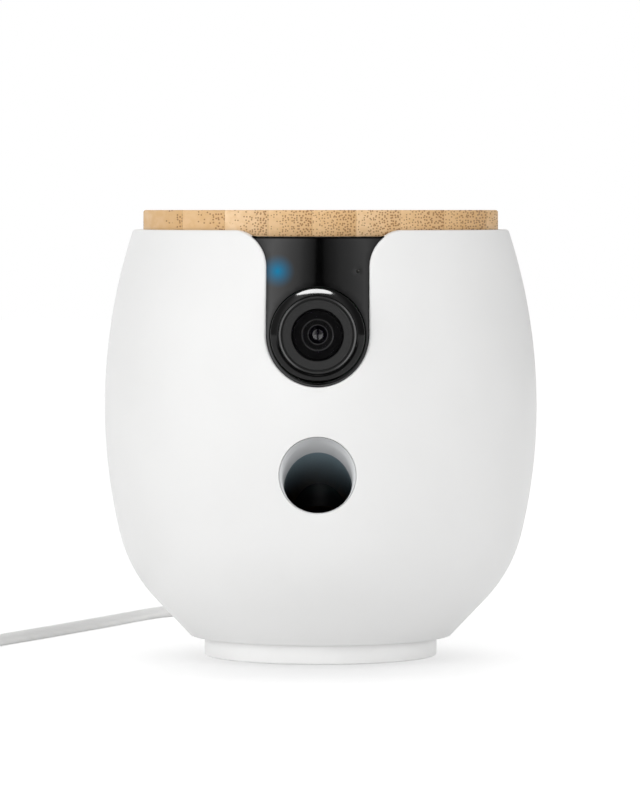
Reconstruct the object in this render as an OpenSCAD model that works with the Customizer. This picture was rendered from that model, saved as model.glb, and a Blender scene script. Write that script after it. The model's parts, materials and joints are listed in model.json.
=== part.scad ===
// Rotating pet camera with a treat thrower, millimetres, +Z up, front towards -Y.
// The origin is on the floor at the middle of the base.

/* [Body] */
// Radius of the shell at its widest
max_r = 60; // [56:0.5:66]
// Height of the widest ring
widest_z = 69; // [66:0.5:74]
// Height of the shell's rim
rim_z = 118.2; // [108:0.1:128]
// Radius of the side's curve above the widest ring
upper_arc = 156; // [130:1:220]
// Radius of the side's curve below the widest ring
lower_arc = 150; // [130:1:190]
// Slope from upright where the lower curve tightens
belly_angle = 13.5; // [11:0.1:15]
// Radius of the tight curve at the belly
belly_arc = 40; // [34:0.5:46]
// Slope from upright of the cone under the belly
foot_angle = 43.6; // [40:0.1:46]
// Height of the shell's bottom edge
bottom_z = 5.6; // [5:0.1:7]
// Wall of the shell
wall = 2.2; // [1.6:0.1:2.6]
// Height of the solid lip inside the shell's bottom edge
lip_h = 3.4; // [3:0.1:5]
// Gap between pieces that fit into each other
fit_gap = 0.15; // [0.1:0.01:0.2]
// Gap beside pieces that move
move_gap = 0.4; // [0.3:0.05:0.6]

/* [Window] */
// Half the width of the black window
window_half_w = 13.9; // [13.2:0.1:15]
// Radius of the flare at each top corner of the window
window_flare = 10; // [8:0.5:12]
// Thickness of the window panel
panel_t = 2; // [1.5:0.1:2.5]
// Depth of the panel's face behind the shell's face
panel_inset = 0.4; // [0.3:0.05:0.8]

/* [Camera] */
// Drop from the shell's rim to the lens axis
lens_drop = 27.8; // [26:0.1:30]
// Outer radius of the rounded lens hood
hood_r = 12.6; // [12:0.1:13]
// Radius of the round on the hood's front edge
hood_round = 1.9; // [1:0.1:2]
// Radius of the lens barrel
barrel_r = 10.4; // [9.8:0.1:10.6]
// Depth of the barrel's face behind the hood's front
barrel_step = 0.8; // [0.5:0.1:1.5]
// Radius of the front glass
glass_r = 6.9; // [6:0.1:7.5]
// Height of the glass dome over the barrel's face
glass_rise = 0.6; // [0.4:0.05:0.7]
// Room between the window panel and the camera board's corners
camera_gap = 1.4; // [0.5:0.1:2.5]
// Room between the camera board and the hopper
camera_room = 3.4; // [1:0.1:6]
// Side of the camera board
camera_board_w = 26; // [24:0.5:27]
// Distance of the lamp and the microphone from the middle of the window
sensor_x = 10.7; // [10:0.1:11]
// Drop from the shell's rim to the lamp and the microphone
sensor_drop = 10.9; // [9:0.1:12]
// Radius of the status lamp's light guide
led_r = 1.2; // [0.8:0.1:1.5]
// Radius of the microphone hole
mic_r = 0.5; // [0.4:0.05:0.8]

/* [Treat outlet] */
// Height of the outlet's centre
hole_z = 53; // [52:0.1:54]
// Radius of the hole in the shell
hole_r = 10.4; // [10.2:0.1:11]
// Upward tilt of the throwing tube
tilt = 25; // [24:0.5:26]
// Bore radius of the throwing tube
tube_r = 9.2; // [9:0.05:9.4]
// Wall of the throwing tube
tube_wall = 1; // [0.8:0.05:1.1]
// Length of the white nozzle, front to back
nozzle_len = 9.5; // [8:0.1:11]

/* [Lid] */
// Gap between the wooden lid and the shell's wall
lid_gap = 0.52; // [0.3:0.01:1]
// Bevel round the edges of the wooden lid
lid_edge = 0.5; // [0.2:0.1:1.5]
// Thickness of the wooden lid
lid_t = 7.1; // [5:0.1:9]
// Depth that the lid sits below the rim
lid_seat = 1.7; // [1.2:0.1:2.5]
// Height of the plug under the lid
plug_h = 5; // [4:0.1:7]
// Wall of the plug
plug_wall = 3; // [2:0.1:4]

/* [Hopper] */
// Wall of the hopper
hopper_wall = 1.8; // [1.5:0.1:2]
// Radius of the feed wheel
wheel_r = 30; // [29.5:0.1:30.5]
// Height of the feed wheel
wheel_h = 9; // [7:0.1:10]
// Number of pockets in the feed wheel
pockets = 6; // [5:1:8]
// Thickness of a feed wheel vane
vane_t = 2.4; // [1.6:0.1:3]
// Radius of the feed wheel's hub
hub_r = 8; // [6:0.1:9]
// Height of the funnel between the feed wheel and the hopper's wall
funnel_h = 11; // [9:0.5:13]
// Distance of the drop hole from the axis
drop_y = 22; // [20:0.1:22.2]
// Radius of the drop hole
drop_r = 7.6; // [6:0.1:7.8]

/* [Feed drive] */
// Radius of the feed wheel's shaft
feed_shaft_r = 2.5; // [2:0.1:3]
// Tooth size of all gears, pitch diameter over teeth
gear_module = 0.8; // [0.75:0.01:0.82]
// Teeth on the feed gear
feed_teeth = 22; // [20:2:22]
// Teeth on the feed motor's pinion
feed_pinion_teeth = 11; // [10:1:12]
// Thickness of the gears
gear_t = 4; // [3:0.1:4.2]
// Radius of the feed motor
feed_motor_r = 9; // [8:0.1:9.5]
// Length of the feed motor
feed_motor_len = 20; // [16:0.5:22]

/* [Thrower] */
// Height of the thrower's pivot over the turret floor
pivot_h = 7.2; // [6.6:0.1:9]
// Radius of the thrower's head
head_r = 7.2; // [6.8:0.1:7.3]
// Thickness of the thrower's head
head_t = 3; // [2.5:0.1:3.2]
// Width of the thrower's arm
arm_w = 4; // [3:0.1:4.2]
// Swing of the thrower
swing = 40; // [34:1:40]
// Radius of the thrower's shaft
pivot_r = 1.5; // [1.3:0.05:1.6]
// Teeth on the thrower's gear
throw_teeth = 12; // [12:1:13]
// Teeth on the throw motor's pinion
throw_pinion_teeth = 8; // [8:1:9]
// Direction from the pivot to the throw motor's axis, up from the rear
throw_motor_angle = 14; // [10:1:16]
// Radius of the throw motor
throw_motor_r = 4.6; // [4:0.1:4.8]
// Length of the throw motor
throw_motor_len = 13; // [10:0.5:14]

/* [Base] */
// Outer radius of the base
base_r = 32.3; // [29:0.1:35]
// Wall of the base
base_wall = 2.4; // [2:0.1:2.8]
// Thickness of the base's top and bottom plates
base_plate_t = 1.5; // [1.2:0.05:1.6]
// Height of the rubber foot ring
foot_t = 0.8; // [0.6:0.05:1]
// Gap between the base's skirt and the ground
skirt_gap = 0.3; // [0.2:0.05:0.5]
// Width of the rubber foot ring
foot_w = 8; // [5:0.5:10]
// Radius of the steel ballast disc
ballast_r = 26; // [22:0.5:28]
// Thickness of the steel ballast disc
ballast_t = 2; // [1.5:0.05:2.1]

/* [Turning drive] */
// Outer radius of the hollow spindle
spindle_r = 9; // [8.5:0.1:9.5]
// Bore radius of the hollow spindle
spindle_bore = 6; // [5:0.1:7]
// Running clearance of shafts in their bores
run_gap = 0.05; // [0.03:0.01:0.09]
// Thickness of the thrust ring
thrust_t = 2; // [1.8:0.1:2.2]
// Room between the thrust ring and the frame screws
thrust_gap = 2.2; // [0.5:0.1:4]
// Width of the thrust ring
thrust_w = 6; // [4:0.5:8]
// Teeth on the fixed gear
pan_teeth = 40; // [38:1:41]
// Teeth on the turning motor's pinion
pan_pinion_teeth = 10; // [9:1:11]
// Radius of the turning motor
pan_motor_r = 8.5; // [7:0.1:8.8]
// Length of the turning motor
pan_motor_len = 18; // [15:0.5:22]

/* [Frame] */
// Thickness of the turret floor
floor_t = 2; // [1.8:0.1:2.4]
// Height of the posts between the floor and the deck
post_h = 46; // [45.5:0.1:47]
// Radius of the posts
post_r = 3; // [2.5:0.1:3.2]
// Room between the deck and the shell's wall
deck_gap = 5.4; // [1:0.1:6]
// Thickness of the deck
deck_t = 2; // [1.6:0.1:2.4]

/* [Electronics] */
// Width of the main board
board_w = 44; // [36:1:46]
// Height of the main board
board_h = 34; // [28:1:36]
// Distance of the main board behind the axis
board_y = 31; // [30:0.5:33]
// Thickness of the circuit boards
board_t = 1.6; // [1:0.1:1.8]
// Height of the speaker and its grille
speaker_z = 80; // [78:0.5:82]
// Radius of the speaker
speaker_r = 13; // [11:0.5:14]
// Depth of the speaker
speaker_t = 5.5; // [4:0.5:6]
// Radius of a grille hole
grille_r = 0.8; // [0.5:0.1:1]
// Spacing of the grille holes
grille_step = 3.4; // [3:0.1:3.8]
// Height of the setup button
button_z = 48; // [47:0.5:49]
// Radius of the setup button
button_r = 3; // [2.4:0.1:3.4]
// Travel of the setup button
button_travel = 0.8; // [0.5:0.1:1]

/* [Lead] */
// Diameter of the lead
cord_d = 3.5; // [3:0.1:3.5]
// Height of the lead's exit from the base
exit_z = 3; // [2.8:0.1:3.2]
// Length of the tapered strain relief
relief_len = 14; // [8:0.5:20]
// Loops in one layer of the coil
loops_per_layer = 5; // [4:1:5]
// Gap between loops of the coil
loop_gap = 0.5; // [0.45:0.05:0.6]

/* [Hidden] */
$fn = 96;
belly_steps = 8;
lower_steps = 6;
upper_steps = 10;
upper_step = 2.2;
// Reach of a cut past the face that it opens
cut = 1;
// Overlap that joins the solids of one piece
weld = 0.1;

// Ends and centre of the belly's curve, and the ends of the cone under it
belly_r = max_r - lower_arc * (1 - cos(belly_angle));
belly_z = widest_z - lower_arc * sin(belly_angle);
belly_cr = belly_r - belly_arc * cos(belly_angle);
belly_cz = belly_z + belly_arc * sin(belly_angle);
foot_r = belly_r - belly_arc * (cos(belly_angle) - cos(foot_angle));
foot_z = belly_z - belly_arc * (sin(foot_angle) - sin(belly_angle));

// Heights that stack up from the base to the lid
lip_z = bottom_z + lip_h;
floor_top = lip_z + floor_t;
base_top = lip_z - thrust_t;
deck_z = floor_top + post_h;
deck_top = deck_z + deck_t;
lid_bottom = rim_z - lid_seat;
lens_z = rim_z - lens_drop;
sensor_z = rim_z - sensor_drop;

// Radius of the shell's side at a height, or of a face inset from it
function side_r(z, inset = 0) =
    z >= widest_z
        ? max_r - upper_arc + sqrt(pow(upper_arc - inset, 2) - pow(z - widest_z, 2))
    : z >= belly_z + inset * sin(belly_angle)
        ? max_r - lower_arc + sqrt(pow(lower_arc - inset, 2) - pow(z - widest_z, 2))
    : z >= foot_z + inset * sin(foot_angle)
        ? belly_cr + sqrt(pow(belly_arc - inset, 2) - pow(z - belly_cz, 2))
    : foot_r - inset * cos(foot_angle) - (foot_z + inset * sin(foot_angle) - z) * tan(foot_angle);

// Heights of the points along the side's three curves, from the foot up
function side_heights(inset) = concat(
    [
        for (i = [0 : belly_steps])
            let (a = foot_angle + (belly_angle - foot_angle) * i / belly_steps)
            belly_cz - (belly_arc - inset) * sin(a)
    ],
    [
        for (i = [1 : lower_steps])
            widest_z - (lower_arc - inset) * sin(belly_angle * (1 - i / lower_steps))
    ],
    [for (i = [1 : upper_steps]) widest_z + (upper_arc - inset) * sin(upper_step * i)]
);

// The side's outline between two heights, moved in by an inset
module side_profile(inset, z_lo, z_hi) {
    margin = 0.05;
    heights = [for (z = side_heights(inset)) if (z > z_lo + margin && z < z_hi - margin) z];
    polygon(concat(
        [[0, z_lo]],
        [for (z = concat([z_lo], heights, [z_hi])) [side_r(z, inset), z]],
        [[0, z_hi]]
    ));
}

// The solid inside an inset of the shell's side
module side_solid(inset, z_lo, z_hi) {
    rotate_extrude()
        side_profile(inset, z_lo, z_hi);
}

// Puts children on an axis that runs to the front at a height, local +Z towards the front
module facing_front(z, x = 0) {
    translate([x, 0, z])
        rotate([90, 0, 0])
            children();
}

// Puts children on an axis that runs to the back at a height, local +Z towards the back
module facing_back(z) {
    translate([0, 0, z])
        rotate([-90, 0, 0])
            children();
}

module ring(r_in, r_out, h) {
    rotate_extrude()
        translate([r_in, 0])
            square([r_out - r_in, h]);
}

// Gear teeth with straight flanks, a tooth centred on +X
module gear_outline(teeth) {
    pitch_r = gear_module * teeth / 2;
    step = 360 / teeth;
    polygon([
        for (i = [0 : teeth - 1])
            for (corner = [[-0.29, -1.2], [-0.11, 0.9], [0.11, 0.9], [0.29, -1.2]])
                let (a = step * (i + corner[0]), r = pitch_r + gear_module * corner[1])
                    [r * cos(a), r * sin(a)]
    ]);
}

module gear(teeth, bore_r, turn = 0) {
    rotate([0, 0, turn])
        difference() {
            linear_extrude(gear_t)
                gear_outline(teeth);
            translate([0, 0, -cut])
                cylinder(h = gear_t + 2 * cut, r = bore_r);
        }
}

// A motor's gear, in one piece with its shaft
module pinion(teeth, turn) {
    rotate([0, 0, turn])
        linear_extrude(gear_t)
            gear_outline(teeth);
}

// Turn that puts a pinion's gap against a gear's tooth, for a pinion at an angle from the gear
function mesh_turn(teeth, angle) = angle + 180 + 180 / teeth;

// Bore that a pressed shaft seats in
seat_gap = 0.02;
function seat_r(shaft_r) = shaft_r + seat_gap;

// Base
base_in_r = base_r - base_wall;
cover_top = foot_t + base_plate_t;
boss_r = 2.6;
boss_edge = 0.6;
boss_at = base_in_r - boss_r - boss_edge;
screw_r = 1;
screw_head_r = 1.9;
screw_head_h = 0.9;
neck_t = 0.1;
neck_r = cord_d / 2 + neck_t;
relief_t = 0.45;
relief_r = cord_d / 2 + relief_t;
screw_end = 0.5;
foot_edge = base_wall + fit_gap;
ballast_edge = 1;
cover_turns = [60, 180, 300];

module base_shell() {
    color("whitesmoke")
        difference() {
            union() {
                translate([0, 0, skirt_gap])
                    ring(base_in_r, base_r, base_top - skirt_gap);
                translate([0, 0, base_top - base_plate_t])
                    cylinder(h = base_plate_t, r = base_in_r + weld);
                for (a = cover_turns)
                    rotate([0, 0, a])
                        translate([boss_at, 0, cover_top])
                            cylinder(h = base_top - cover_top, r = boss_r);
            }
            for (a = cover_turns)
                rotate([0, 0, a])
                    translate([boss_at, 0, 0])
                        cylinder(h = base_top - base_plate_t, r = seat_r(screw_r));
            for (a = flange_turns)
                rotate([0, 0, a])
                    translate([flange_screw_at, 0, 0])
                        cylinder(h = base_top + cut, r = seat_r(screw_r));
            cylinder(h = base_top + cut, r = spindle_bore);
            facing_back(exit_z)
                translate([0, 0, base_in_r - cut])
                    cylinder(h = base_wall + 2 * cut, r = neck_r + fit_gap);
        }
}

module base_cover() {
    color("gainsboro")
        difference() {
            translate([0, 0, foot_t])
                cylinder(h = base_plate_t, r = base_in_r - fit_gap);
            for (a = cover_turns)
                rotate([0, 0, a])
                    translate([boss_at, 0, foot_t - cut]) {
                        cylinder(h = base_plate_t + 2 * cut, r = seat_r(screw_r));
                        cylinder(h = cut + screw_head_h, r = screw_head_r + fit_gap);
                    }
        }
}

module cover_screws() {
    color("silver")
        for (a = cover_turns)
            rotate([0, 0, a])
                translate([boss_at, 0, foot_t]) {
                    cylinder(h = screw_head_h, r = screw_head_r);
                    cylinder(h = base_top - base_plate_t - foot_t - screw_end, r = screw_r);
                }
}

module foot_ring() {
    color("dimgray")
        ring(base_r - foot_edge - foot_w, base_r - foot_edge, foot_t);
}

module ballast_disc() {
    color("slategray")
        translate([0, 0, cover_top])
            ring(
                flange_screw_at + screw_head_r + ballast_edge,
                min(ballast_r, boss_at - boss_r - move_gap),
                ballast_t
            );
}

// Turning drive
flange_r = 15;
flange_t = 1.5;
flange_screw_at = 12;
flange_turns = [0, 120, 240];
gear_lift = 0.3;
spindle_rise = 2.4;
spindle_top = floor_top + gear_lift + gear_t + spindle_rise;
pan_dist = gear_module * (pan_teeth + pan_pinion_teeth) / 2;
pan_shaft_r = 1;
mount_t = 2;
mount_post_r = 2;
mount_half_w = 4;
mount_lift = 1.2;
pan_mount_z = floor_top + gear_lift + gear_t + mount_lift;
motor_cap_h = 1.5;
flange_screw_end = 0.2;

module pan_spindle() {
    color("lightgray")
        difference() {
            union() {
                translate([0, 0, base_top])
                    cylinder(h = spindle_top - base_top, r = spindle_r);
                translate([0, 0, base_top])
                    cylinder(h = flange_t, r = flange_r);
            }
            translate([0, 0, base_top - cut])
                cylinder(h = spindle_top, r = spindle_bore);
            for (a = flange_turns)
                rotate([0, 0, a])
                    translate([flange_screw_at, 0, base_top - cut])
                        cylinder(h = flange_t + 2 * cut, r = seat_r(screw_r));
        }
}

module spindle_screws() {
    color("silver")
        for (a = flange_turns)
            rotate([0, 0, a])
                translate([flange_screw_at, 0, base_top - base_plate_t - screw_head_h]) {
                    cylinder(h = screw_head_h, r = screw_head_r);
                    cylinder(h = screw_head_h + base_plate_t + flange_t - flange_screw_end, r = screw_r);
                }
}

module pan_gear() {
    color("ivory")
        translate([0, 0, floor_top + gear_lift])
            gear(pan_teeth, seat_r(spindle_r));
}

module thrust_ring() {
    color("darkgray")
        translate([0, 0, base_top])
            ring(thrust_r - thrust_w, thrust_r, thrust_t);
}

module pan_pinion() {
    color("gold")
        translate([pan_dist, 0, floor_top + gear_lift]) {
            pinion(pan_pinion_teeth, mesh_turn(pan_pinion_teeth, 0));
            cylinder(h = pan_mount_z + mount_t - floor_top - gear_lift, r = pan_shaft_r);
        }
}

module pan_motor_mount() {
    arm = pan_motor_r + mount_post_r;
    color("silver")
        difference() {
            union() {
                translate([pan_dist - mount_half_w, -arm - mount_post_r, pan_mount_z])
                    cube([2 * mount_half_w, 2 * (arm + mount_post_r), mount_t]);
                for (s = [-1, 1])
                    translate([pan_dist, s * arm, floor_top])
                        cylinder(h = pan_mount_z - floor_top + weld, r = mount_post_r);
            }
            translate([pan_dist, 0, pan_mount_z - cut])
                cylinder(h = mount_t + 2 * cut, r = pan_shaft_r + run_gap);
        }
}

module pan_motor() {
    color("gray")
        translate([pan_dist, 0, pan_mount_z + mount_t]) {
            cylinder(h = pan_motor_len, r = pan_motor_r);
            translate([0, 0, pan_motor_len])
                cylinder(h = motor_cap_h, r = pan_motor_r / 2);
        }
}

// Lead
usb_w = 16;
usb_h = 8;
usb_len = 26;
contact_w = 12;
contact_h = 4.5;
contact_len = 14;
contact_wall = 0.4;
contact_seat = 2;
tongue_back = 3;
usb_neck = 6;
neck_round = 0.5;
tie_t = 0.5;
tie_w = 6;
tie_room = 1;
tie_gap = 0.1;
tie_side_gap = 0.3;
tie_top_gap = 0.3;
collar_len = 2;
neck_in = 0.2;
loop_step = cord_d + loop_gap;
coil_low = cord_d / 2 + tie_t + tie_gap;
coil_across = 12;
coil_mid_r = coil_across * cord_d / 2;
coil_in_r = coil_mid_r - loop_step * loops_per_layer / 2;
coil_out_r = coil_in_r + loop_step * loops_per_layer;
loop_rings = 24;
coil_sides = 6;
cord_sides = 8;

// Where the lead lies, from the strain relief to the coil
run_points = [
    [0, base_r + relief_len, exit_z], [0, base_r + relief_len + 9, exit_z - 0.1],
    [-1, 68, 2.2], [-3, 82, 1.8], [-6, 96, 1.75], [-11, 110, 1.75],
    [-19, 121, 1.75], [-30, 127, 1.75], [-41, 125, 1.75], [-50, 117, 1.75], [-57, 102, 1.75],
    [-63, 87, 1.75], [-69, 73, 1.75], [-75, 59, 1.75], [-81, 45, 1.75], [-87, 32, 1.75],
    [-92, 20, 1.8], [-95, 8, 2.1], [-96, -4, 2.35], [-96, -10, 2.35]
];
coil_start = run_points[len(run_points) - 1];
coil_centre = [coil_start[0] - coil_out_r, coil_start[1] - cord_d, 0];
coil_turn = 360 * loops_per_layer;
half_turn = 180;
coil_end = 2 * coil_turn - half_turn;

function unit(v) = v / norm(v);

// Smooth curve through the points, one more ring between each two
function between(a, b, c, d) = (9 * b + 9 * c - a - d) / 16;
function smooth(p) = [
    for (i = [0 : len(p) - 1])
        each i == len(p) - 1
            ? [p[i]]
            : [p[i], between(p[max(i - 1, 0)], p[i], p[i + 1], p[min(i + 2, len(p) - 1)])]
];

function ease(t) = t <= 0 ? 0 : t >= 1 ? 1 : t * t * (3 - 2 * t);

// The coil winds in on its low layer, climbs in the half turn about its turning point and winds out
function coil_point(a) =
    let (r = coil_in_r + loop_step * abs(a - coil_turn) / 360)
    [
        coil_centre[0] + r * cos(a),
        coil_centre[1] - r * sin(a),
        coil_low + loop_step * ease((a - coil_turn) / half_turn + 0.5)
    ];
coil_points = concat(
    [coil_start],
    [for (i = [0 : coil_end * loop_rings / 360]) coil_point(i * 360 / loop_rings)],
    [coil_point(coil_end) + [0, cord_d, 0]]
);
coil_exit = coil_points[len(coil_points) - 1];
tail_points = [
    for (step = [[0, 0], [6, 0.1], [12, 0.5], [18, 0.9], [24, 1]])
        [coil_exit[0], coil_exit[1] + step[0], coil_exit[2] - step[1] * (coil_exit[2] - usb_h / 2)]
];
tail_end = tail_points[len(tail_points) - 1] + [0, cord_d, 0];

// Least gap between one stretch of the coil and another, at least half a turn away
coil_gap = min([
    for (i = [0 : len(coil_points) - 1])
        for (j = [i + loop_rings / 2 : len(coil_points) - 1])
            norm(coil_points[i] - coil_points[j])
]) - cord_d;
echo(coil_gap = coil_gap);

module tube_along(p, r, sides) {
    last = len(p) - 1;
    points = [
        for (i = [0 : last])
            let (
                ahead = unit(p[min(i + 1, last)] - p[max(i - 1, 0)]),
                side = unit(cross(ahead, [0, 0, 1])),
                up = cross(side, ahead)
            )
            for (k = [0 : sides - 1])
                p[i] + r * (cos(360 * k / sides) * side + sin(360 * k / sides) * up)
    ];
    walls = [
        for (i = [0 : last - 1])
            for (k = [0 : sides - 1])
                let (a = i * sides + k, b = i * sides + (k + 1) % sides)
                each [[a, a + sides, b], [b, a + sides, b + sides]]
    ];
    caps = [
        for (k = [1 : sides - 2])
            each [[0, k, k + 1], [last * sides, last * sides + k + 1, last * sides + k]]
    ];
    polyhedron(points, concat(walls, caps));
}

module strain_relief() {
    color("whitesmoke")
        facing_back(exit_z) {
            translate([0, 0, base_in_r + neck_in])
                cylinder(h = base_wall + fit_gap, r = neck_r);
            translate([0, 0, base_r + fit_gap])
                cylinder(h = collar_len, r = relief_r);
            translate([0, 0, base_r + fit_gap + collar_len])
                cylinder(h = relief_len - fit_gap - collar_len, r1 = relief_r, r2 = neck_r);
        }
}

module cord_run() {
    color("white")
        tube_along(smooth(run_points), cord_d / 2, cord_sides);
}

module cord_coil() {
    color("white")
        tube_along(coil_points, cord_d / 2, coil_sides);
}

module cord_tail() {
    color("white")
        tube_along(concat(tail_points, [tail_end]), cord_d / 2, cord_sides);
}

// Flat band round all loops on the side of the coil that faces back, a quarter turn along the spiral
module cord_tie() {
    low = coil_in_r + loop_step / 4 - cord_d / 2 - tie_room;
    high = coil_out_r - 3 * loop_step / 4 + cord_d / 2 + tie_side_gap;
    top = coil_low + loop_step + cord_d / 2 + tie_top_gap;
    color("dimgray")
        translate([coil_centre[0] - tie_w / 2, coil_centre[1], 0])
            rotate([90, 0, 90])
                linear_extrude(tie_w)
                    difference() {
                        translate([low - tie_t, 0])
                            square([high - low + 2 * tie_t, top + tie_t]);
                        translate([low, tie_t])
                            square([high - low, top - tie_t]);
                    }
}

module plug_body() {
    color("white")
        translate([tail_end[0], tail_end[1], tail_end[2]])
            rotate([-90, 0, 0])
                difference() {
                    union() {
                        translate([-usb_w / 2, -usb_h / 2, usb_neck])
                            cube([usb_w, usb_h, usb_len - usb_neck]);
                        cylinder(
                            h = usb_neck + weld, r1 = cord_d / 2 + neck_round, r2 = usb_h / 2 - neck_round
                        );
                    }
                    translate([-contact_w / 2, -contact_h / 2, usb_len - contact_seat])
                        cube([contact_w, contact_h, contact_seat + cut]);
                }
}

module plug_contact() {
    color("silver")
        translate([tail_end[0], tail_end[1] + usb_len - contact_seat, tail_end[2]])
            rotate([-90, 0, 0])
                difference() {
                    translate([-contact_w / 2, -contact_h / 2, 0])
                        cube([contact_w, contact_h, contact_len]);
                    translate([-contact_w / 2 + contact_wall, 0, tongue_back])
                        cube([contact_w - 2 * contact_wall, contact_h / 2 - contact_wall, contact_len]);
                }
}

// Shell and frame of the turret
board_edge = 4;
panel_back_r = side_r(sensor_z + board_edge, panel_inset + panel_t);
camera_front = sqrt(pow(panel_back_r, 2) - pow(camera_board_w / 2, 2)) - camera_gap;
hopper_r = camera_front - board_t - camera_room - hopper_wall;
lid_r = side_r(rim_z, wall) - lid_gap;
base_gap = 1;
flare_rise = 0.15;
grille_circles = 2;
flare_z = rim_z - window_flare + flare_rise;
panel_drop = 0.3;
panel_top = lid_bottom - panel_drop;
floor_r = side_r(lip_z, wall) - move_gap;
mouth_y = -side_r(hole_z);
tube_out_r = tube_r + tube_wall;
nozzle_back = mouth_y + nozzle_len;
tube_back = -8;
tube_len = (tube_back - mouth_y) / cos(tilt);
post_edge = 1;
post_at = base_r + base_gap - screw_head_r - post_edge;
post_turns = [-40, 201.5, 39.5, 140.5];
posts = [for (a = post_turns) post_at * [cos(a), sin(a)]];
thrust_r = post_at - screw_head_r - thrust_gap;
deck_r = side_r(deck_z, wall) - deck_gap;
post_screw_len = 6;
post_head_h = 1.4;
speaker_back = 1.5;
speaker_y = side_r(speaker_z + speaker_r, wall) - speaker_back;
speaker_rim = 1.5;
button_rise = 0.35;
button_y = side_r(button_z) + button_rise;
button_rim = 1.2;
button_flange_y = side_r(button_z - button_r - button_rim, wall) - move_gap;
button_flange_t = 0.8;

// Local +Z runs from the outlet's mouth down the throwing tube
module along_tube() {
    translate([0, mouth_y, hole_z])
        rotate([-(90 + tilt), 0, 0])
            children();
}

// Height of the throwing tube's axis
function tube_z(y) = hole_z - (y - mouth_y) * tan(tilt);

module window_outline(shrink, top) {
    half_w = window_half_w - shrink;
    reach = window_half_w + window_flare;
    translate([0, lens_z])
        circle(half_w);
    translate([-half_w, lens_z])
        square([2 * half_w, top - lens_z]);
    difference() {
        translate([-reach, flare_z])
            square([2 * reach, top - flare_z]);
        for (s = [-1, 1])
            translate([s * reach, flare_z])
                circle(window_flare + shrink);
    }
}

module grille_holes() {
    facing_back(speaker_z)
        for (circle_no = [0 : grille_circles])
            for (k = [0 : max(6 * circle_no - 1, 0)])
                rotate([0, 0, circle_no == 0 ? 0 : k * 60 / circle_no])
                    translate([circle_no * grille_step, 0, speaker_y])
                        cylinder(h = max_r, r = grille_r, $fn = 24);
}

module outer_shell() {
    color("white")
        difference() {
            union() {
                rotate_extrude()
                    difference() {
                        side_profile(0, bottom_z, rim_z);
                        side_profile(wall, lip_z, rim_z + cut);
                        translate([0, bottom_z - cut])
                            square([base_r + base_gap, lip_h + 2 * cut]);
                    }
                intersection() {
                    facing_back(speaker_z)
                        translate([0, 0, speaker_y])
                            ring(speaker_r - speaker_rim, speaker_r, max_r);
                    side_solid(wall / 2, speaker_z - speaker_r - cut, speaker_z + speaker_r + cut);
                }
            }
            facing_front(0)
                linear_extrude(max_r + cut)
                    window_outline(0, rim_z + cut);
            facing_front(hole_z)
                cylinder(h = max_r + cut, r = hole_r);
            facing_back(button_z)
                cylinder(h = max_r + cut, r = button_r + move_gap);
            grille_holes();
        }
}

module turret_floor() {
    color("lightgray")
        difference() {
            translate([0, 0, lip_z])
                cylinder(h = floor_t, r = floor_r);
            translate([0, 0, lip_z - cut])
                cylinder(h = floor_t + 2 * cut, r = spindle_r + run_gap);
            for (p = posts)
                translate([p[0], p[1], lip_z - cut])
                    cylinder(h = floor_t + 2 * cut, r = seat_r(screw_r));
        }
}

module deck_frame() {
    color("silver")
        difference() {
            union() {
                translate([0, 0, deck_z])
                    cylinder(h = deck_t, r = deck_r);
                for (p = posts)
                    translate([p[0], p[1], floor_top])
                        cylinder(h = post_h + weld, r = post_r);
            }
            translate([0, 0, deck_z - cut])
                cylinder(h = deck_t + 2 * cut, r = feed_shaft_r + run_gap);
            translate([0, -drop_y, deck_z - cut])
                cylinder(h = deck_t + 2 * cut, r = drop_r);
            along_tube()
                cylinder(h = tube_len, r = tube_out_r + move_gap);
            for (p = posts)
                translate([p[0], p[1], floor_top - cut])
                    cylinder(h = post_screw_len + cut + screw_end, r = seat_r(screw_r));
        }
}

module frame_screws() {
    color("silver")
        for (p = posts)
            translate([p[0], p[1], lip_z - post_head_h]) {
                cylinder(h = post_head_h, r = screw_head_r);
                cylinder(h = post_head_h + floor_t + post_screw_len, r = screw_r);
            }
}

// Window and camera
hood_front = max_r;
barrel_front = hood_front - barrel_step;
hood_seat = 2.4;
hood_back = camera_front + hood_seat;
glass_seat = 1.4;
glass_ball = (pow(glass_r, 2) + pow(glass_rise, 2)) / (2 * glass_rise);
throat_r = 4.1;
throat_len = 3;
led_reach = 5;
mic_can_r = 2;
mic_can_h = 1.5;
inner_r = 2.4;
sensor_w = 8;
sensor_t = 1.2;
inner_t = 2;
inner_back = (barrel_front - glass_seat + camera_front + sensor_t - inner_t) / 2;
sensor_gap = 0.8;
sensor_room = sensor_t + sensor_gap;
sensor_pocket_r = 6;

module window_panel() {
    low = lens_z - window_half_w - cut;
    color("black")
        difference() {
            intersection() {
                rotate_extrude()
                    difference() {
                        side_profile(panel_inset, low, rim_z);
                        side_profile(panel_inset + panel_t, low - cut, rim_z + cut);
                    }
                facing_front(0)
                    linear_extrude(max_r + cut)
                        window_outline(fit_gap, panel_top);
            }
            facing_front(lens_z)
                cylinder(h = max_r + cut, r = hood_r + fit_gap);
            facing_front(sensor_z, -sensor_x)
                cylinder(h = max_r + cut, r = led_r + fit_gap);
            facing_front(sensor_z, sensor_x)
                cylinder(h = max_r + cut, r = mic_r, $fn = 24);
        }
}

module lens_hood() {
    in_r = barrel_r + fit_gap;
    color("black")
        facing_front(lens_z)
            rotate_extrude()
                difference() {
                    union() {
                        translate([in_r, hood_back])
                            square([hood_r - in_r, hood_front - hood_round - hood_back]);
                        translate([in_r, hood_back])
                            square([hood_r - hood_round - in_r, hood_front - hood_back]);
                        translate([hood_r - hood_round, hood_front - hood_round])
                            circle(hood_round);
                    }
                    translate([0, hood_back - cut])
                        square([in_r, hood_front]);
                }
}

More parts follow.
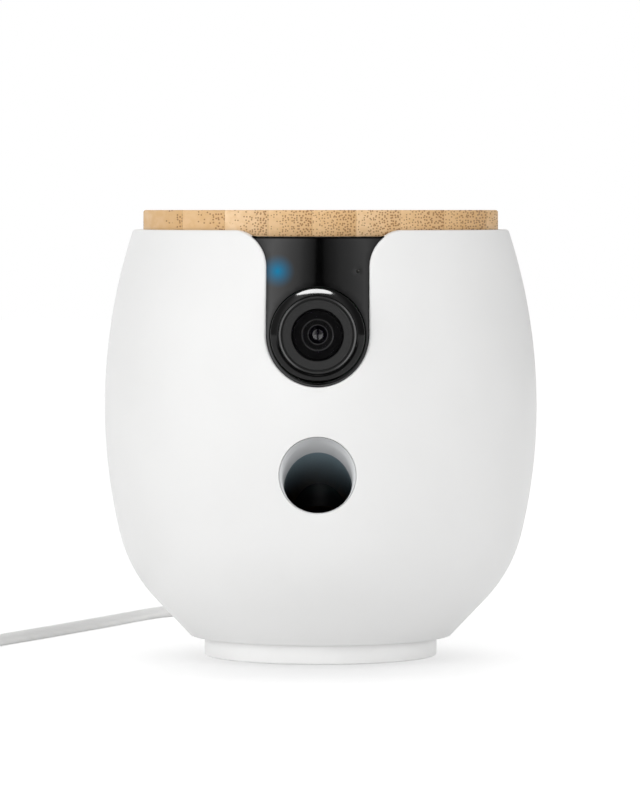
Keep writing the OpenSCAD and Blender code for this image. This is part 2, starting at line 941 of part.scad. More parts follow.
module lens_barrel() {
    color("dimgray")
        facing_front(lens_z)
            difference() {
                translate([0, 0, camera_front])
                    cylinder(h = barrel_front - camera_front, r = barrel_r);
                translate([0, 0, barrel_front - glass_seat])
                    cylinder(h = glass_seat + cut, r = glass_r + fit_gap);
                translate([0, 0, barrel_front - glass_seat - throat_len])
                    cylinder(h = throat_len + cut, r1 = inner_r + fit_gap, r2 = throat_r);
                translate([0, 0, camera_front - cut])
                    cylinder(h = hood_front - camera_front, r = seat_r(inner_r));
                translate([0, 0, camera_front - cut])
                    cylinder(h = sensor_room + cut, r = sensor_pocket_r);
            }
}

module front_glass() {
    color("midnightblue")
        facing_front(lens_z)
            intersection() {
                translate([0, 0, barrel_front - glass_seat])
                    cylinder(h = glass_seat + glass_rise + cut, r = glass_r);
                translate([0, 0, barrel_front + glass_rise - glass_ball])
                    sphere(glass_ball);
            }
}

module inner_lens() {
    color("slategray")
        facing_front(lens_z)
            translate([0, 0, inner_back])
                cylinder(h = inner_t, r = inner_r);
}

module image_sensor() {
    color("darkgreen")
        translate([-sensor_w / 2, -camera_front - sensor_t, lens_z - sensor_w / 2])
            cube([sensor_w, sensor_t, sensor_w]);
}

module camera_board() {
    low = lens_z - camera_board_w / 2;
    color("green")
        translate([-camera_board_w / 2, -camera_front, low])
            cube([camera_board_w, board_t, sensor_z + board_edge - low]);
}

module status_led() {
    color("deepskyblue")
        intersection() {
            facing_front(sensor_z, -sensor_x)
                translate([0, 0, camera_front])
                    cylinder(h = max_r, r = led_r);
            side_solid(panel_inset, sensor_z - led_reach, sensor_z + led_reach);
        }
}

module microphone() {
    color("silver")
        facing_front(sensor_z, sensor_x)
            translate([0, 0, camera_front])
                cylinder(h = mic_can_h, r = mic_can_r);
}

// Treat outlet and throwing tube
collar_back = 1.6;
collar_depth = wall + collar_back;
mouth_depth = 2.6;
mouth_step = 0.4;
mouth_edge = 0.2;
nozzle_gap = 0.3;
half_space = 3 * max_r;

// Everything in front of a plane, or behind it
module in_front_of(y) {
    translate([-half_space / 2, y - half_space, -half_space / 2])
        cube(half_space);
}

module tube_bore(r) {
    along_tube()
        translate([0, 0, -max_r / 2])
            cylinder(h = max_r / 2 + tube_len + cut, r = r);
}

module outlet_nozzle() {
    color("whitesmoke")
        difference() {
            union() {
                intersection() {
                    facing_front(hole_z)
                        translate([0, 0, -mouth_y - collar_depth])
                            cylinder(h = max_r, r = hole_r - fit_gap);
                    side_solid(panel_inset, hole_z - 2 * hole_r, hole_z + 2 * hole_r);
                }
                intersection() {
                    tube_bore(tube_out_r);
                    side_solid(wall + nozzle_gap, hole_z - 3 * hole_r, hole_z + 2 * hole_r);
                    in_front_of(nozzle_back);
                }
            }
            tube_bore(tube_r);
            facing_front(hole_z)
                translate([0, 0, -mouth_y - mouth_depth])
                    cylinder(h = mouth_depth, r1 = tube_r - mouth_step, r2 = hole_r - fit_gap - mouth_edge);
        }
}

module throw_tube() {
    slot_w = arm_w + 2 * move_gap;
    color("dimgray")
        difference() {
            union() {
                difference() {
                    along_tube()
                        cylinder(h = tube_len, r = tube_out_r);
                    in_front_of(nozzle_back);
                }
                translate([0, -drop_y, tube_z(-drop_y)])
                    cylinder(h = deck_z - tube_z(-drop_y), r = drop_r + tube_wall);
            }
            tube_bore(tube_r);
            translate([0, -drop_y, tube_z(-drop_y)])
                cylinder(h = post_h, r = drop_r);
            translate([-slot_w / 2, -drop_y - tube_r, floor_top])
                cube([slot_w, drop_y + tube_r, tube_z(-drop_y - tube_r) - floor_top]);
        }
}

// Thrower
head_back = 2.5;
head_y = -drop_y + head_back;
pivot_z = floor_top + pivot_h;
paddle_len = (tube_z(head_y) - pivot_z) / cos(tilt);
pivot_y = head_y - paddle_len * sin(tilt);
hub_half = 2.6;
paddle_hub_r = 3.4;
upright_in = 3;
upright_t = 2;
upright_edge = 0.6;
gear_side = 3;
plate_gap = 0.8;
arm_t = 3;
shaft_end = 0.5;
throw_gear_x = upright_in + upright_t + gear_side;
throw_plate_x = max(throw_gear_x + gear_t + plate_gap, tube_out_r + fit_gap);
throw_plate_t = 2;
throw_dist = gear_module * (throw_teeth + throw_pinion_teeth) / 2;
throw_motor_y = pivot_y + throw_dist * cos(throw_motor_angle);
throw_motor_z = pivot_z + throw_dist * sin(throw_motor_angle);
throw_shaft_r = 1;
throw_gear_end = -throw_gear_x - gear_t;
throw_plate_end = -throw_plate_x - throw_plate_t;

// Puts children on a sideways axis, local +Z towards +X
module sideways(x, y, z) {
    translate([x, y, z])
        rotate([0, 90, 0])
            children();
}

module throw_paddle() {
    color("darkorange")
        translate([0, pivot_y, pivot_z])
            rotate([-(tilt + swing / 2), 0, 0])
                difference() {
                    union() {
                        sideways(-hub_half, 0, 0)
                            cylinder(h = 2 * hub_half, r = paddle_hub_r);
                        translate([-arm_w / 2, -arm_t / 2, 0])
                            cube([arm_w, arm_t, paddle_len]);
                        translate([0, head_t / 2, paddle_len])
                            rotate([90, 0, 0])
                                cylinder(h = head_t, r = head_r);
                    }
                    sideways(-hub_half - cut, 0, 0)
                        cylinder(h = 2 * (hub_half + cut), r = seat_r(pivot_r));
                }
}

module throw_shaft() {
    color("silver")
        sideways(throw_gear_end, pivot_y, pivot_z)
            cylinder(h = upright_in + upright_t + shaft_end - throw_gear_end, r = pivot_r);
}

module throw_gear() {
    color("ivory")
        sideways(throw_gear_end, pivot_y, pivot_z)
            gear(throw_teeth, seat_r(pivot_r), 90 + throw_motor_angle);
}

module throw_pinion() {
    color("gold") {
        sideways(throw_gear_end, throw_motor_y, throw_motor_z)
            pinion(throw_pinion_teeth, mesh_turn(throw_pinion_teeth, 90 + throw_motor_angle));
        sideways(throw_plate_end, throw_motor_y, throw_motor_z)
            cylinder(h = -throw_gear_x - throw_plate_end, r = throw_shaft_r);
    }
}

module throw_bracket() {
    color("silver") {
        for (x = [-upright_in - upright_t, upright_in])
            difference() {
                translate([x, pivot_y - paddle_hub_r - upright_edge, floor_top])
                    cube([upright_t, 2 * (paddle_hub_r + upright_edge), pivot_z + paddle_hub_r - floor_top]);
                sideways(x - cut, pivot_y, pivot_z)
                    cylinder(h = upright_t + 2 * cut, r = pivot_r + run_gap);
            }
        difference() {
            translate([throw_plate_end, throw_motor_y - throw_motor_r, floor_top])
                cube([throw_plate_t, 2 * throw_motor_r, throw_motor_z + throw_motor_r - floor_top]);
            sideways(throw_plate_end - cut, throw_motor_y, throw_motor_z)
                cylinder(h = throw_plate_t + 2 * cut, r = throw_shaft_r + run_gap);
        }
    }
}

module throw_motor() {
    color("gray")
        sideways(throw_plate_end - throw_motor_len, throw_motor_y, throw_motor_z)
            cylinder(h = throw_motor_len, r = throw_motor_r);
}

// Hopper and feed drive
well_r = wheel_r + move_gap;
well_floor = deck_top + hopper_wall;
wheel_under = 0.3;
wheel_z = well_floor + wheel_under;
wheel_over = 0.7;
well_top = wheel_z + wheel_h + wheel_over;
funnel_top = well_top + funnel_h;
hopper_flange_t = 2;
feed_gear_drop = 3;
feed_gear_z = deck_z - gear_t - feed_gear_drop;
feed_mount_drop = 1.5;
feed_mount_z = feed_gear_z - feed_mount_drop - mount_t;
feed_post_gap = 1.5;
shaft_top_gap = 1;
feed_dist = gear_module * (feed_teeth + feed_pinion_teeth) / 2;
feed_motor_shaft_r = 1;

module hopper() {
    color("lightgray")
        rotate_extrude()
            polygon([
                [well_r + hopper_wall, well_top],
                [hopper_r + hopper_wall, funnel_top - hopper_wall / 2],
                [hopper_r + hopper_wall, lid_bottom - hopper_flange_t],
                [lid_r, lid_bottom - hopper_flange_t], [lid_r, lid_bottom], [hopper_r, lid_bottom],
                [hopper_r, funnel_top], [well_r, well_top]
            ]);
}

module feed_well() {
    color("darkgray")
        difference() {
            rotate_extrude()
                polygon([
                    [0, deck_top], [well_r + hopper_wall, deck_top], [well_r + hopper_wall, well_top],
                    [well_r, well_top], [well_r, well_floor], [0, well_floor]
                ]);
            translate([0, 0, deck_top - cut])
                cylinder(h = hopper_wall + 2 * cut, r = feed_shaft_r + run_gap);
            translate([0, -drop_y, deck_top - cut])
                cylinder(h = hopper_wall + 2 * cut, r = drop_r);
        }
}

module feed_wheel() {
    color("whitesmoke")
        translate([0, 0, wheel_z])
            difference() {
                union() {
                    cylinder(h = wheel_h, r = hub_r);
                    intersection() {
                        cylinder(h = wheel_h, r = wheel_r);
                        for (i = [0 : pockets - 1])
                            rotate([0, 0, (i + 0.5) * 360 / pockets - 90])
                                translate([hub_r - cut, -vane_t / 2, 0])
                                    cube([wheel_r, vane_t, wheel_h]);
                    }
                    translate([0, 0, wheel_h])
                        cylinder(h = hub_r / 2, r1 = hub_r, r2 = hub_r / 3);
                }
                translate([0, 0, -shaft_top_gap])
                    cylinder(h = wheel_h, r = seat_r(feed_shaft_r));
            }
}

module feed_shaft() {
    color("silver")
        translate([0, 0, feed_gear_z])
            cylinder(h = wheel_z + wheel_h - shaft_top_gap - feed_gear_z, r = feed_shaft_r);
}

module feed_gear() {
    color("ivory")
        translate([0, 0, feed_gear_z])
            gear(feed_teeth, seat_r(feed_shaft_r), 90);
}

module feed_pinion() {
    color("gold")
        translate([0, feed_dist, feed_gear_z]) {
            pinion(feed_pinion_teeth, mesh_turn(feed_pinion_teeth, 90));
            translate([0, 0, feed_mount_z - feed_gear_z])
                cylinder(h = feed_gear_z - feed_mount_z + gear_t, r = feed_motor_shaft_r);
        }
}

module feed_motor_mount() {
    arm = feed_motor_r + mount_post_r + feed_post_gap;
    color("silver")
        difference() {
            union() {
                translate([-arm - mount_post_r, feed_dist - mount_half_w, feed_mount_z])
                    cube([2 * (arm + mount_post_r), 2 * mount_half_w, mount_t]);
                for (s = [-1, 1])
                    translate([s * arm, feed_dist, feed_mount_z + mount_t - weld])
                        cylinder(h = deck_z - feed_mount_z - mount_t + weld, r = mount_post_r);
            }
            translate([0, feed_dist, feed_mount_z - cut])
                cylinder(h = mount_t + 2 * cut, r = feed_motor_shaft_r + run_gap);
        }
}

module feed_motor() {
    color("gray")
        translate([0, feed_dist, feed_mount_z - feed_motor_len]) {
            cylinder(h = feed_motor_len, r = feed_motor_r);
            translate([0, 0, -motor_cap_h])
                cylinder(h = motor_cap_h + weld, r = feed_motor_r / 2);
        }
}

// Electronics
chips = [[-12, 12, 10], [6, 18, 8], [8, 5, 6]];
chip_t = 1.2;
switch_w = 6;
button_board_w = 14;
switch_gap = 0.3;
switch_t = 2.4;
button_board_y = button_flange_y - button_flange_t - button_travel - switch_gap - switch_t - board_t;
speaker_frame_t = 2.5;
cone_depth = 1.2;
cone_rim = 2.5;
cone_gap = 0.2;
cone_t = 0.6;
cone_cap = [4, 3];

module main_board() {
    color("green")
        translate([-board_w / 2, board_y, deck_z - board_h])
            cube([board_w, board_t, board_h]);
}

module board_chips() {
    color("black")
        for (chip = chips)
            translate([chip[0], board_y + board_t, deck_z - board_h + chip[1]])
                cube([chip[2], chip_t, chip[2]]);
}

module button_board() {
    low = button_z - switch_w;
    color("green")
        translate([-button_board_w / 2, button_board_y, low])
            cube([button_board_w, board_t, deck_z - low]);
}

module button_switch() {
    color("black")
        translate([-switch_w / 2, button_board_y + board_t, button_z - switch_w / 2])
            cube([switch_w, switch_t, switch_w]);
}

module setup_button() {
    color("whitesmoke")
        facing_back(button_z) {
            translate([0, 0, button_flange_y - button_flange_t])
                cylinder(h = button_flange_t, r = button_r + button_rim);
            translate([0, 0, button_flange_y - weld])
                cylinder(h = button_y - button_flange_y + weld, r = button_r);
        }
}

module speaker() {
    color("dimgray")
        facing_back(speaker_z)
            difference() {
                union() {
                    translate([0, 0, speaker_y - speaker_frame_t])
                        cylinder(h = speaker_frame_t, r = speaker_r);
                    translate([0, 0, speaker_y - speaker_t])
                        cylinder(h = speaker_t - speaker_frame_t + weld, r = 0.6 * speaker_r);
                }
                translate([0, 0, speaker_y - cone_depth])
                    cylinder(h = cone_depth + cut, r = speaker_r - cone_rim);
            }
}

module speaker_cone() {
    color("black")
        facing_back(speaker_z)
            translate([0, 0, speaker_y - cone_depth]) {
                cylinder(h = cone_t, r = speaker_r - cone_rim - cone_gap);
                translate([0, 0, cone_t - weld])
                    cylinder(h = cone_t, r1 = cone_cap[0], r2 = cone_cap[1]);
            }
}

// Lid
plug_gap = 1.2;
plug_r = hopper_r - plug_gap;
seal_fit = 0.02;
seal_r = hopper_r - move_gap;
seal_h = 2;

module lid_disc() {
    color("burlywood")
        translate([0, 0, lid_bottom])
            rotate_extrude()
                polygon([
                    [0, 0], [lid_r - lid_edge, 0], [lid_r, lid_edge], [lid_r, lid_t - lid_edge],
                    [lid_r - lid_edge, lid_t], [0, lid_t]
                ]);
}

module lid_plug() {
    color("whitesmoke")
        translate([0, 0, lid_bottom - plug_h])
            ring(plug_r - plug_wall, plug_r, plug_h);
}

module lid_seal() {
    color("lightgray")
        translate([0, 0, lid_bottom - plug_h / 2 - seal_h / 2])
            ring(plug_r + seal_fit, seal_r, seal_h);
}

base_shell();
base_cover();
foot_ring();
ballast_disc();
cover_screws();
pan_spindle();
spindle_screws();
pan_gear();
thrust_ring();
strain_relief();
cord_run();
cord_coil();
cord_tail();
cord_tie();
plug_body();
plug_contact();
outer_shell();
turret_floor();
deck_frame();
frame_screws();
window_panel();
lens_hood();
lens_barrel();
front_glass();
inner_lens();
image_sensor();
camera_board();
status_led();
microphone();
outlet_nozzle();
throw_tube();
hopper();
feed_well();
feed_motor_mount();
feed_motor();
throw_bracket();
throw_motor();
pan_motor_mount();
pan_motor();
main_board();
board_chips();
button_board();
button_switch();
speaker();
speaker_cone();
lid_disc();
lid_plug();
lid_seal();
feed_wheel();
feed_shaft();
feed_gear();
feed_pinion();
throw_paddle();
throw_shaft();
throw_gear();
throw_pinion();
pan_pinion();
setup_button();
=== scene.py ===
import json
from math import asin, atan2, ceil, copysign, cos, degrees, dist, hypot, pi, radians, sin, sqrt, tan

import bmesh
import bpy
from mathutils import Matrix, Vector
from mathutils.geometry import delaunay_2d_cdt


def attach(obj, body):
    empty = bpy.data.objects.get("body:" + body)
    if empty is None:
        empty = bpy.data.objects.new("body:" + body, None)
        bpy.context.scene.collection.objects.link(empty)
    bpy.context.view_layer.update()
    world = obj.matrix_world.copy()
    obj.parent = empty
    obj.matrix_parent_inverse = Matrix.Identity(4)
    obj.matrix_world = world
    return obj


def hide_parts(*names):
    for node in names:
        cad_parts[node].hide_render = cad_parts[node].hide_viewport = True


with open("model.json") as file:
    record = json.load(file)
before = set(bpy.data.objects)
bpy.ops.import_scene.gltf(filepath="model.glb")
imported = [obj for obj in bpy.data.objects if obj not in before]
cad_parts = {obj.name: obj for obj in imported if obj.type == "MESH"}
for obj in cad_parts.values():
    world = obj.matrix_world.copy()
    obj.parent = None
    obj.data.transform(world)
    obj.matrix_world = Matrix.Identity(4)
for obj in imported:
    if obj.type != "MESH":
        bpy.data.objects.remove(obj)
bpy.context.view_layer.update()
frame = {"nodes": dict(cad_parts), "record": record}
nodes = frame["nodes"]
scene = bpy.context.scene
scene.view_settings.view_transform = "Standard"

MM = 0.001


def metres(x, y, z):
    return (x * MM, y * MM, z * MM)


def turns(count):
    """The angles of points spread evenly round a circle."""
    return [2 * pi * k / count for k in range(count)]


def put(name, data):
    """A new object in the scene."""
    made = bpy.data.objects.new(name, data)
    scene.collection.objects.link(made)
    return made


# Sizes in millimetres, as in the part's source
MAX_R = 60.0
WIDEST_Z = 69.0
RIM_Z = 118.2
UPPER_ARC = 156.0
LOWER_ARC = 150.0
BELLY_ANGLE = radians(13.5)
BELLY_ARC = 40.0
FOOT_ANGLE = radians(43.6)
BOTTOM_Z = 5.6
LIP_Z = 9.0
WALL = 2.2
BASE_R = 32.3
BASE_WALL = 2.4
BASE_PLATE = 1.5
BASE_TOP = 7.0
SPINDLE_BORE = 6.0
FIT_GAP = 0.15
LENS_Z = 90.4
WINDOW_HALF = 13.9
FLARE_R = 10.0
FLARE_Z = 108.35
PANEL_INSET = 0.4
PANEL_T = 2.0
HOOD_R = 12.6
HOOD_FRONT = 60.0
HOOD_BACK = 51.0
BARREL_R = 10.4
BARREL_FRONT = 59.2
BARREL_BACK = 48.6
GLASS_R = 6.9
GLASS_SEAT = 1.4
GLASS_RISE = 0.6
THROAT_R = 4.1
THROAT_LEN = 3.0
INNER_R = 2.4
INNER_BACK = 52.8
INNER_T = 2.0
LED_AT = (-10.7, 107.3)
LED_R = 1.2
MIC_AT = (10.7, 107.3)
MIC_R = 0.5
HOLE_R = 10.4
HOLE_Z = 53.0
BUTTON_Z = 48.0
BUTTON_HOLE_R = 3.4
GRILLE_Z = 80.0
GRILLE_STEP = 3.4
GRILLE_R = 0.8
LID_R = 49.198
LID_BOTTOM = 116.5
LID_TOP = 123.6
CORD_D = 3.5

BELLY_R = MAX_R - LOWER_ARC * (1 - cos(BELLY_ANGLE))
BELLY_Z = WIDEST_Z - LOWER_ARC * sin(BELLY_ANGLE)
BELLY_CR = BELLY_R - BELLY_ARC * cos(BELLY_ANGLE)
BELLY_CZ = BELLY_Z + BELLY_ARC * sin(BELLY_ANGLE)
FOOT_R = BELLY_R - BELLY_ARC * (cos(BELLY_ANGLE) - cos(FOOT_ANGLE))
FOOT_Z = BELLY_Z - BELLY_ARC * (sin(FOOT_ANGLE) - sin(BELLY_ANGLE))


def side_r(z, inset=0.0):
    """Radius of the shell's side at a height, or of a face inset from it."""
    if z >= WIDEST_Z:
        return MAX_R - UPPER_ARC + sqrt((UPPER_ARC - inset) ** 2 - (z - WIDEST_Z) ** 2)
    if z >= BELLY_Z + inset * sin(BELLY_ANGLE):
        return MAX_R - LOWER_ARC + sqrt((LOWER_ARC - inset) ** 2 - (z - WIDEST_Z) ** 2)
    if z >= FOOT_Z + inset * sin(FOOT_ANGLE):
        return BELLY_CR + sqrt((BELLY_ARC - inset) ** 2 - (z - BELLY_CZ) ** 2)
    foot = FOOT_Z + inset * sin(FOOT_ANGLE) - z
    return FOOT_R - inset * cos(FOOT_ANGLE) - foot * tan(FOOT_ANGLE)


# Camera at the photograph's place
CAMERA_AT = (0.0189, -1.3199, 0.1236)
CAMERA_AIM = (-0.0002, 0.0, 0.0708)
CAMERA_LENS = 213.8

camera_data = bpy.data.cameras.new("camera")
camera_data.sensor_width = 36.0
camera_data.lens = CAMERA_LENS
camera_data.clip_start = 0.05
camera_data.clip_end = 20.0
camera = put("camera", camera_data)
camera.location = CAMERA_AT
camera.rotation_euler = (Vector(CAMERA_AIM) - Vector(CAMERA_AT)).to_track_quat("-Z", "Y").to_euler()
scene.camera = camera


# Lead: the route's points, in millimetres
RUN_POINTS = [
    (0, 46.3, 3), (0, 55.3, 2.9), (-1, 68, 2.2), (-3, 82, 1.8), (-6, 96, 1.75), (-11, 110, 1.75),
    (-19, 121, 1.75), (-30, 127, 1.75), (-41, 125, 1.75), (-50, 117, 1.75), (-57, 102, 1.75),
    (-63, 87, 1.75), (-69, 73, 1.75), (-75, 59, 1.75), (-81, 45, 1.75), (-87, 32, 1.75),
    (-92, 20, 1.8), (-95, 8, 2.1), (-96, -4, 2.35), (-96, -10, 2.35),
]
LOOPS = 5
LOOP_STEP = 4.0
COIL_IN_R = 11.0
COIL_CENTRE = (-127.0, -13.5)
COIL_LOW = 2.35
COIL_TURN = 360.0 * LOOPS
COIL_END = 2 * COIL_TURN - 180.0
COIL_RINGS = 24
PLUG_Z = 4.0
# Tail: how far it has come, and how much of the drop to the plug's height is done
TAIL = ((0, 0), (6, 0.1), (12, 0.5), (18, 0.9), (24, 1.0))


def smooth(points):
    """The points with one more between each two, on the curve through the four around it."""
    last = len(points) - 1
    out = []
    for i, point in enumerate(points):
        out.append(point)
        if i < last:
            around = (points[max(i - 1, 0)], point, points[i + 1], points[min(i + 2, last)])
            out.append(tuple((9 * b + 9 * c - a - d) / 16 for a, b, c, d in zip(*around)))
    return out


def ease(t):
    """A smooth step from 0 to 1."""
    t = min(max(t, 0.0), 1.0)
    return t * t * (3 - 2 * t)


def coil_point(a):
    """The lead's middle after a turn in degrees: inwards below, then outwards on top."""
    r = COIL_IN_R + LOOP_STEP * abs(a - COIL_TURN) / 360
    z = COIL_LOW + LOOP_STEP * ease((a - COIL_TURN) / 180 + 0.5)
    turn = radians(a)
    return (COIL_CENTRE[0] + r * cos(turn), COIL_CENTRE[1] - r * sin(turn), z)


def lead_points():
    coil = [coil_point(i * 360 / COIL_RINGS) for i in range(int(COIL_END * COIL_RINGS / 360) + 1)]
    x, y, z = coil[-1]
    start = y + CORD_D
    tail = [(x, start + along, z - drop * (z - PLUG_Z)) for along, drop in TAIL]
    tail.append((x, tail[-1][1] + CORD_D, PLUG_Z))
    return smooth(RUN_POINTS) + coil + tail


lead_path = lead_points()
lead_curve = bpy.data.curves.new("lead", "CURVE")
lead_curve.dimensions = "3D"
lead_spline = lead_curve.splines.new("POLY")
lead_spline.points.add(len(lead_path) - 1)
for spline_point, point in zip(lead_spline.points, lead_path):
    spline_point.co = (*metres(*point), 1.0)
    spline_point.radius = CORD_D / 2 * MM
lead_curve.bevel_depth = 1.0
lead_curve.bevel_resolution = 4
lead_curve.use_fill_caps = True
lead = put("lead", lead_curve)
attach(lead, "base")
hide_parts("cord_run", "cord_coil", "cord_tail")


# Building pieces
SHARP = radians(38)
MERGE = 2e-6
ROUND_STEPS = 4
EDGE_CLEAR = 1.0


def piece(name, bm, body, replaced):
    """A finished piece from a bmesh that is in metres, in the frame."""
    bmesh.ops.remove_doubles(bm, verts=bm.verts, dist=MERGE)
    loose = [v for v in bm.verts if not v.link_faces]
    bmesh.ops.delete(bm, geom=loose, context="VERTS")
    bmesh.ops.recalc_face_normals(bm, faces=bm.faces)
    mesh = bpy.data.meshes.new(name)
    bm.to_mesh(mesh)
    bm.free()
    mesh.shade_smooth()
    mesh.set_sharp_from_angle(angle=SHARP)
    made = put(name, mesh)
    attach(made, body)
    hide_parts(*replaced)
    return made


def inside(loop, x, z):
    """Whether a point lies inside a closed outline."""
    hit = False
    for (xa, za), (xb, zb) in zip(loop, loop[1:] + loop[:1]):
        if (za > z) != (zb > z) and x < xa + (z - za) * (xb - xa) / (zb - za):
            hit = not hit
    return hit


def thick_skin(bm, loops, points, at, depth):
    """A skin of even thickness with rounded edges.

    The first loop is the outline, and the rest are holes. A loop is a list of (place, round):
    place(e) is the edge's point moved by e into the material, and round the edge's radius, or
    None where the skin goes on. at(x, z, inset) puts a point on the skin.
    """
    flat, edges, rings = [], [], []
    for loop in loops:
        ring = range(len(flat), len(flat) + len(loop))
        flat += [place(radius or 0.0) for place, radius in loop]
        edges += [(a, ring[(k + 1) % len(ring)]) for k, a in enumerate(ring)]
        rings.append(ring)
    outline = [flat[k] for k in rings[0]]
    holes = [[flat[k] for k in ring] for ring in rings[1:]]
    edge_count = len(flat)
    for x, z in points:
        near = min((x - px) ** 2 + (z - pz) ** 2 for px, pz in flat[:edge_count])
        clear = near > EDGE_CLEAR ** 2 and inside(outline, x, z)
        if clear and not any(inside(hole, x, z) for hole in holes):
            flat.append((x, z))
    _, _, faces, origin, _, _ = delaunay_2d_cdt([Vector(p) for p in flat], edges, [], 2, 1e-6)
    outer = [bm.verts.new(at(x, z, 0.0)) for x, z in flat]
    inner = [bm.verts.new(at(x, z, depth)) for x, z in flat]
    for face in faces:
        corners = [origin[v][0] for v in face]
        x, z = (sum(flat[c][k] for c in corners) / len(corners) for k in (0, 1))
        if any(inside(hole, x, z) for hole in holes):
            continue
        bm.faces.new([outer[c] for c in corners])
        bm.faces.new([inner[c] for c in reversed(corners)])
    for loop, ring in zip(loops, rings):
        strips = []
        for (place, radius), k in zip(loop, ring):
            strip = radius and edge_strip(bm, place, radius, at, depth)
            strips.append(strip and [outer[k]] + strip + [inner[k]])
        for a, b in zip(strips, strips[1:] + strips[:1]):
            if a and b:
                quads(bm, [a, b])


def edge_strip(bm, place, radius, at, depth):
    """The points of a rounded edge, from the outer face down its wall."""
    strip = []
    for m in range(1, ROUND_STEPS + 1):
        turn = pi / 2 * m / ROUND_STEPS
        x, z = place(radius * (1 - sin(turn)))
        strip.append(bm.verts.new(at(x, z, radius * (1 - cos(turn)))))
    x, z = place(0.0)
    strip.append(bm.verts.new(at(x, z, depth)))
    return strip


def moved(x, z, nx, nz):
    """The place of an edge point with the direction into the material."""
    return lambda e: (x + e * nx, z + e * nz)


def hole_loop(x, z, r, count, radius):
    """The edge of a round hole."""
    return [(moved(x + r * cos(a), z + r * sin(a), cos(a), sin(a)), radius) for a in turns(count)]


FLARE_STEPS = 14
SIDE_STEPS = 12
ARC_STEPS = 48


def window_edge(shrink, top):
    """The lens window's edge from its upper right round to its upper left, and its normals."""
    flare = FLARE_R + shrink
    start = pi - asin((top - FLARE_Z) / flare)
    half = WINDOW_HALF - shrink
    right = []
    for k in range(FLARE_STEPS + 1):
        a = start + (pi - start) * k / FLARE_STEPS
        right.append((WINDOW_HALF + FLARE_R + flare * cos(a), FLARE_Z + flare * sin(a),
                      -cos(a), -sin(a)))
    for k in range(1, SIDE_STEPS + 1):
        right.append((half, FLARE_Z + (LENS_Z - FLARE_Z) * k / SIDE_STEPS, 1.0, 0.0))
    arc = []
    for k in range(1, ARC_STEPS):
        a = -pi * k / ARC_STEPS
        arc.append((half * cos(a), LENS_Z + half * sin(a), cos(a), sin(a)))
    left = [(-x, z, -nx, nz) for x, z, nx, nz in reversed(right)]
    return right + arc + left


def quads(bm, grid, closed=False):
    """Faces between rows of points."""
    for a, b in zip(grid, grid[1:]):
        for k in range(len(a) if closed else len(a) - 1):
            n = (k + 1) % len(a)
            corners = list(dict.fromkeys((a[k], a[n], b[n], b[k])))
            if len(corners) > 2:
                bm.faces.new(corners)


def turned(name, profile, axis, count, body, replaced):
    """A piece turned from a closed profile of (radius, along) round an axis."""
    bm = bmesh.new()
    rows = []
    for r, along in profile:
        if r == 0.0:
            rows.append([bm.verts.new(axis(0.0, 0.0, along))] * count)
        else:
            rows.append([bm.verts.new(axis(r, turn, along)) for turn in turns(count)])
    quads(bm, rows, closed=True)
    return piece(name, bm, body, replaced)


def front_axis(x, z):
    """The points round an axis that runs front to back."""
    return lambda r, turn, along: metres(x + r * cos(turn), -along, z + r * sin(turn))


def up_axis(r, turn, along):
    """A point round the upright axis."""
    return metres(r * sin(turn), -r * cos(turn), along)


def bend(cr, ca, radius, start, end, steps):
    """Points of an arc in a profile, angles in degrees from the radius towards the axis."""
    angles = [radians(start + (end - start) * k / steps) for k in range(steps + 1)]
    return [(cr + radius * cos(a), ca + radius * sin(a)) for a in angles]


# Tie: a strap drawn tight round both layers of the coil, with its loose end on top
TIE_HALF = 3.0
TIE_T = 0.49
TIE_GAP = 0.1
TIE_EDGE = 0.12
TIE_SINK = 0.04
TIE_STEPS = 8
TIE_LEAN = atan2(2.0, LOOP_STEP)
# The middle of each outermost loop, as (across the coil, height), and the turns round it
TIE_CORNERS = (
    ((11.3, COIL_LOW), pi - TIE_LEAN, pi * 1.5),
    ((28.0, COIL_LOW), -pi / 2, TIE_LEAN),
    ((26.0, COIL_LOW + LOOP_STEP), TIE_LEAN, pi / 2),
    ((13.3, COIL_LOW + LOOP_STEP), pi / 2, pi - TIE_LEAN),
)
# The loose end's rows, as (across the coil, half width)
TIE_END = ((15.0, 2.7), (15.2, 2.9), (20.8, 2.9), (21.8, 2.6), (22.3, 1.8), (22.5, 0.8))


def strap_section(half):
    """Outline of the flat band: across and out of the coil."""
    e = TIE_EDGE
    right = [(half - e, 0.0), (half, e), (half, TIE_T - e), (half - e, TIE_T)]
    return right + [(-x, out) for x, out in reversed(right)]


def strap_ring(bm, corner, turn, half, lift=0.0):
    """The band's outline where it passes a corner's loop at a turn."""
    ring = []
    for x, out in strap_section(half):
        r = CORD_D / 2 + TIE_GAP + lift + out
        y, z = corner[0] + r * cos(turn), corner[1] + r * sin(turn)
        ring.append(bm.verts.new(metres(COIL_CENTRE[0] + x, COIL_CENTRE[1] + y, z)))
    return ring


def make_tie():
    bm = bmesh.new()
    rows = [
        strap_ring(bm, corner, start + (end - start) * k / TIE_STEPS, TIE_HALF)
        for corner, start, end in TIE_CORNERS for k in range(TIE_STEPS + 1)
    ]
    quads(bm, rows + rows[:1], closed=True)
    top = COIL_LOW + LOOP_STEP
    lift = TIE_T - TIE_SINK
    tab = [strap_ring(bm, (y, top), pi / 2, half, lift) for y, half in TIE_END]
    quads(bm, tab, closed=True)
    bm.faces.new(tab[0])
    bm.faces.new(tab[-1])
    return piece("tie_strap", bm, "base", ["cord_tie"])


